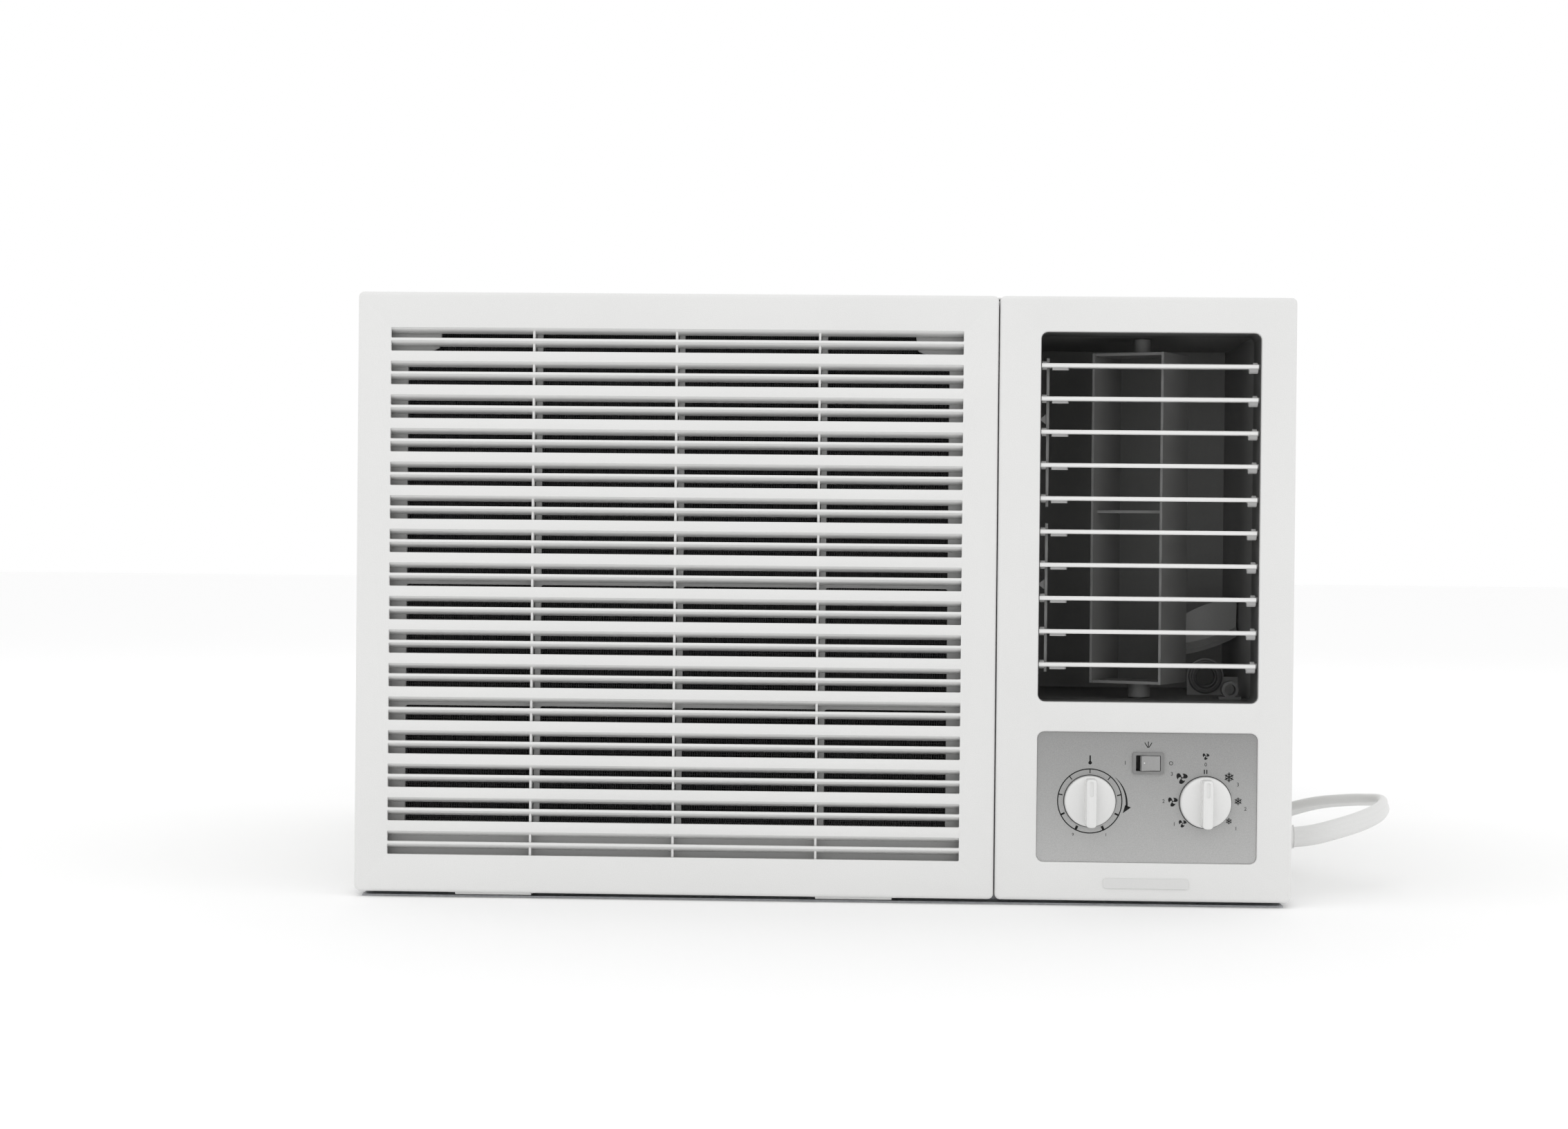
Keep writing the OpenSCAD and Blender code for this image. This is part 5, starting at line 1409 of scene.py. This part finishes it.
def makeScoop():
    # curved lip of the duct where the scroll comes in, low on the right
    shape = bmesh.new()
    rows = []
    for i in range(15):
        t = i / 14
        x = 262.5 + 41.5 * t
        drop = 14 * (1 - t) ** 2
        rows.append([(x, -226 - 3 * t, 214 - drop + 0.5), (x, -222, 214 - drop),
                     (x, -216, 181 + 9 * t * t - 5 * (1 - t)),
                     (x, -230 - 2 * t, 178 + 9 * t * t - 5 * (1 - t)),
                     (x, -232 - 2 * t, 181.5 + 9 * t * t - 5 * (1 - t)),
                     (x, -224 - 2 * t, 186 + 8 * t * t - 5 * (1 - t))])
    addRings(shape, rows)
    settle(shape, "scrollLip", "case", "duct_black", smooth=50, material=finishes["vane_grey"])


def makeGrommet():
    shape = bmesh.new()
    lowest, highest = nodeBox("duct_grommet")
    x = (lowest[0] + highest[0]) / 2
    z = (lowest[2] + highest[2]) / 2
    y0 = lowest[1]
    profile = [(y0 + 0.4, 12.2), (y0, 11.4), (y0, 10.6), (y0 + 0.7, 10.0), (y0 + 0.7, 8.9), (y0 - 0.2, 8.3),
               (y0 - 0.9, 7.5), (y0 - 0.6, 6.8),
               (y0 + 0.4, 6.5), (highest[1], 6.5), (highest[1], 12.4), (y0 + 0.8, 12.5)]
    rings = [circleAt("y", along, (x, z), radius, 40) for along, radius in profile]
    rows = addRings(shape, rings, False, False)
    bridge(shape, rows[-1], rows[0])
    settle(shape, "ductGrommet", "case", "black_rubber", smooth=45, replaced=("duct_grommet",))


makeTunnelLining()
makeScoop()
makeGrommet()
cadNodes["wire_clip"].data.materials[0] = clipGrey
print("outlet duct made")


# evaporator and condenser


def makeFins(name, node, slot, margin, thick, pitch, rows, stagger, hairpin, body="case", material=None):
    # a stack of thin fins with collars, on straight tubes, between two bent end plates
    lowest, highest = nodeBox(node)
    x0, y0, z0 = lowest
    x1, y1, z1 = highest
    shape = bmesh.new()
    addBlock(shape, (0, thick), (0, y1 - y0 - 1.0), (0, z1 - z0 - 1.0))
    fin = sample(shape, "fin")
    count = int((x1 - x0 - 2 * margin) / pitch)
    mesh = grow(name, rowsTree, {
        "Piece": fin, "Start": metres(x0 + margin, y0 + 0.5, z0 + 0.5), "Count": count,
        "Step": metres(pitch, 0, 0),
        "Inner Count": 1, "Inner Step": metres(0, 0, 0), "Turn": (0, 0, 0), "Finish": finishes[slot]})
    bpy.data.objects.remove(fin)
    place(mesh, name, body, slot, smooth=30, replaced=(node,), material=material)
    plates = bmesh.new()
    for x in (x0, x1 - 1.5):
        addBlock(plates, (x, x + 1.5), (y0, y1), (z0, z1))
    settle(plates, name + "Ends", body, "galvanised", bevel=0.3)
    wires(name + "Tubes", body, "copper", (x0 + 0.5, y0 + stagger, z0 + hairpin), (x1 - x0 - 1, 0, 0), rows,
          (0, 0, (z1 - z0 - 2 * hairpin) / (rows - 1)), 3.6, 10, material=material)
    wires(name + "TubesRear", body, "copper", (x0 + 0.5, y1 - stagger, z0 + hairpin * 1.5),
          (x1 - x0 - 1, 0, 0), rows - 1,
          (0, 0, (z1 - z0 - 2 * hairpin) / (rows - 1)), 3.6, 10, material=material)


# the evaporator's fins and tubes carry painted shade in their colour
makeFins("evaporatorFins", "evaporator_coil", "fin_aluminium", 3, 0.35, 1.9, 14, 14, 12.5, material=finCoatingAndShade)
makeFins("condenserFins", "condenser_coil", "fin_aluminium", 3, 0.35, 1.9, 16, 15, 12.5)
print("coils made")


# cabinet, rear guard and fixings

cabinet = {
    "half": 327.0,
    "top": 425.0,
    "sideStart": -106.5,
    "sideStep": 86.0,
    "sideLong": 74.0,
    "sideLow": 230.0,
    "rowStep": 16.0,
    "topStart": -244.0,
    "topStep": 100.0,
    "topLong": 88.0,
    "topLow": -86.5,
    "proud": 2.6,
}


def louvreHood(long, opening):
    # pressed hood over one slot, drawn along +X with its open side towards -Y and its height in +Z
    proud = cabinet["proud"]
    shape = bmesh.new()
    arch = [(opening + 1.6, 0.02), (opening + 0.8, 0.7 * proud), (opening * 0.55, proud),
            (0.2, proud - 0.2), (0.2, proud - 0.9),
            (opening * 0.5, proud - 0.75), (opening + 0.1, 0.5 * proud), (opening + 0.6, 0.02)]
    rows = []
    for along, k in ((0.0, 0.05), (0.6, 0.5), (1.8, 0.82), (3.4, 1.0), (long - 3.4, 1.0),
                     (long - 1.8, 0.82), (long - 0.6, 0.5), (long, 0.05)):
        rows.append([(along, y, max(z * k, 0.02)) for y, z in arch])
    addRings(shape, rows)
    return sample(shape, "hood")


def makeLouvres():
    c = cabinet
    half = c["half"]
    quarterTurn = math.pi / 2
    # side rows: the hood's length runs along Y and its height stands out from the side
    repeated("louvresRight", "case", "painted_steel", louvreHood(c["sideLong"], 5),
             (half, c["sideStart"], c["sideLow"]), 3, (0, c["sideStep"], 0), 10, (0, 0, c["rowStep"]),
             turn=(quarterTurn, 0, quarterTurn))
    repeated("louvresLeft", "case", "painted_steel", louvreHood(c["sideLong"], 5),
             (-half, c["sideStart"] + c["sideLong"], c["sideLow"]), 3, (0, c["sideStep"], 0), 10,
             (0, 0, c["rowStep"]), turn=(quarterTurn, 0, -quarterTurn))
    repeated("louvresTop", "case", "painted_steel", louvreHood(c["topLong"], 5),
             (c["topStart"], c["topLow"], c["top"]), 5, (c["topStep"], 0, 0), 6, (0, c["rowStep"], 0))


def screwHead():
    shape = bmesh.new()
    addTurned(shape, "z", (0, 0), [(0, 4.0), (0.5, 4.0), (1.3, 3.4), (1.9, 2.2), (2.1, 0.9)], 24)
    piece = sample(shape, "screw")
    cutBy(piece, [((-2.4, 2.4), (-0.45, 0.45), (1.3, 3)), ((-0.45, 0.45), (-2.4, 2.4), (1.3, 3))])
    return piece


screws = {
    "y": (-191.5, 78.5, 298.5),
    "z": 16.0,
}


def makeScrews():
    side = cabinet["half"]
    for label, x, turn in (("screwsRight", side, math.pi / 2), ("screwsLeft", -side, -math.pi / 2)):
        for k, y in enumerate(screws["y"]):
            hidden = ("cabinet_screws",) if x > 0 and k == 0 else ()
            repeated(f"{label}{k + 1}" if k else label, "case", "screw_steel", screwHead(),
                     (x, y, screws["z"]), 1, (0, 0, 0), turn=(0, turn, 0), replaced=hidden)


guard = {
    "border": 12.0,
    "sheet": (349.5, 351.0),
    "uprights": 24,
    "uprightStep": 24.99,
    "uprightY": 352.5,
    "crossbars": 6,
    "crossStep": 78.96,
    "crossY": 355.3,
    "wire": 1.6,
    "inset": 5.0,
}


def makeGuard():
    # welded wire guard in a folded sheet frame
    g = guard
    lowest, highest = nodeBox("rear_guard")
    shape = bmesh.new()
    x0, x1, z0, z1 = lowest[0], highest[0], lowest[2], highest[2]
    border, inset = g["border"], g["inset"]
    addPrism(shape, "y", roundRect((x0, x1), (z0, z1), 4, 5), g["sheet"],
             [roundRect((x0 + border, x1 - border), (z0 + border, z1 - border), 6, 5)])
    settle(shape, "guardFrame", "case", "painted_steel", bevel=0.3, replaced=("rear_guard",))
    pitch = g["uprightStep"]
    wires("guardUprights", "case", "painted_steel", (-pitch * (g["uprights"] - 1) / 2, g["uprightY"],
                                                     z0 + inset),
          (0, 0, z1 - z0 - 2 * inset), g["uprights"], (pitch, 0, 0), g["wire"], 12)
    wires("guardCrossbars", "case", "painted_steel", (x0 + inset, g["crossY"], z0),
          (x1 - x0 - 2 * inset, 0, 0), g["crossbars"], (0, 0, g["crossStep"]), g["wire"], 12)


makeLouvres()
makeScrews()
makeGuard()
print("cabinet made")

floorSize = 30.0


def makeFloor():
    mesh = bpy.data.meshes.new("floor")
    r = floorSize / 2
    mesh.from_pydata([(-r, -r, 0), (r, -r, 0), (r, r, 0), (-r, r, 0)], [], [(0, 1, 2, 3)])
    floor = bpy.data.objects.new("floor", mesh)
    bpy.context.collection.objects.link(floor)
    paint = bpy.data.materials.new("paleFloor")
    paint.use_nodes = True
    shader = paint.node_tree.nodes["Principled BSDF"]
    shader.inputs["Base Color"].default_value = (0.97, 0.97, 0.97, 1)
    shader.inputs["Roughness"].default_value = 0.9
    shader.inputs["Specular IOR Level"].default_value = 0.1
    mesh.materials.append(paint)


makeFloor()
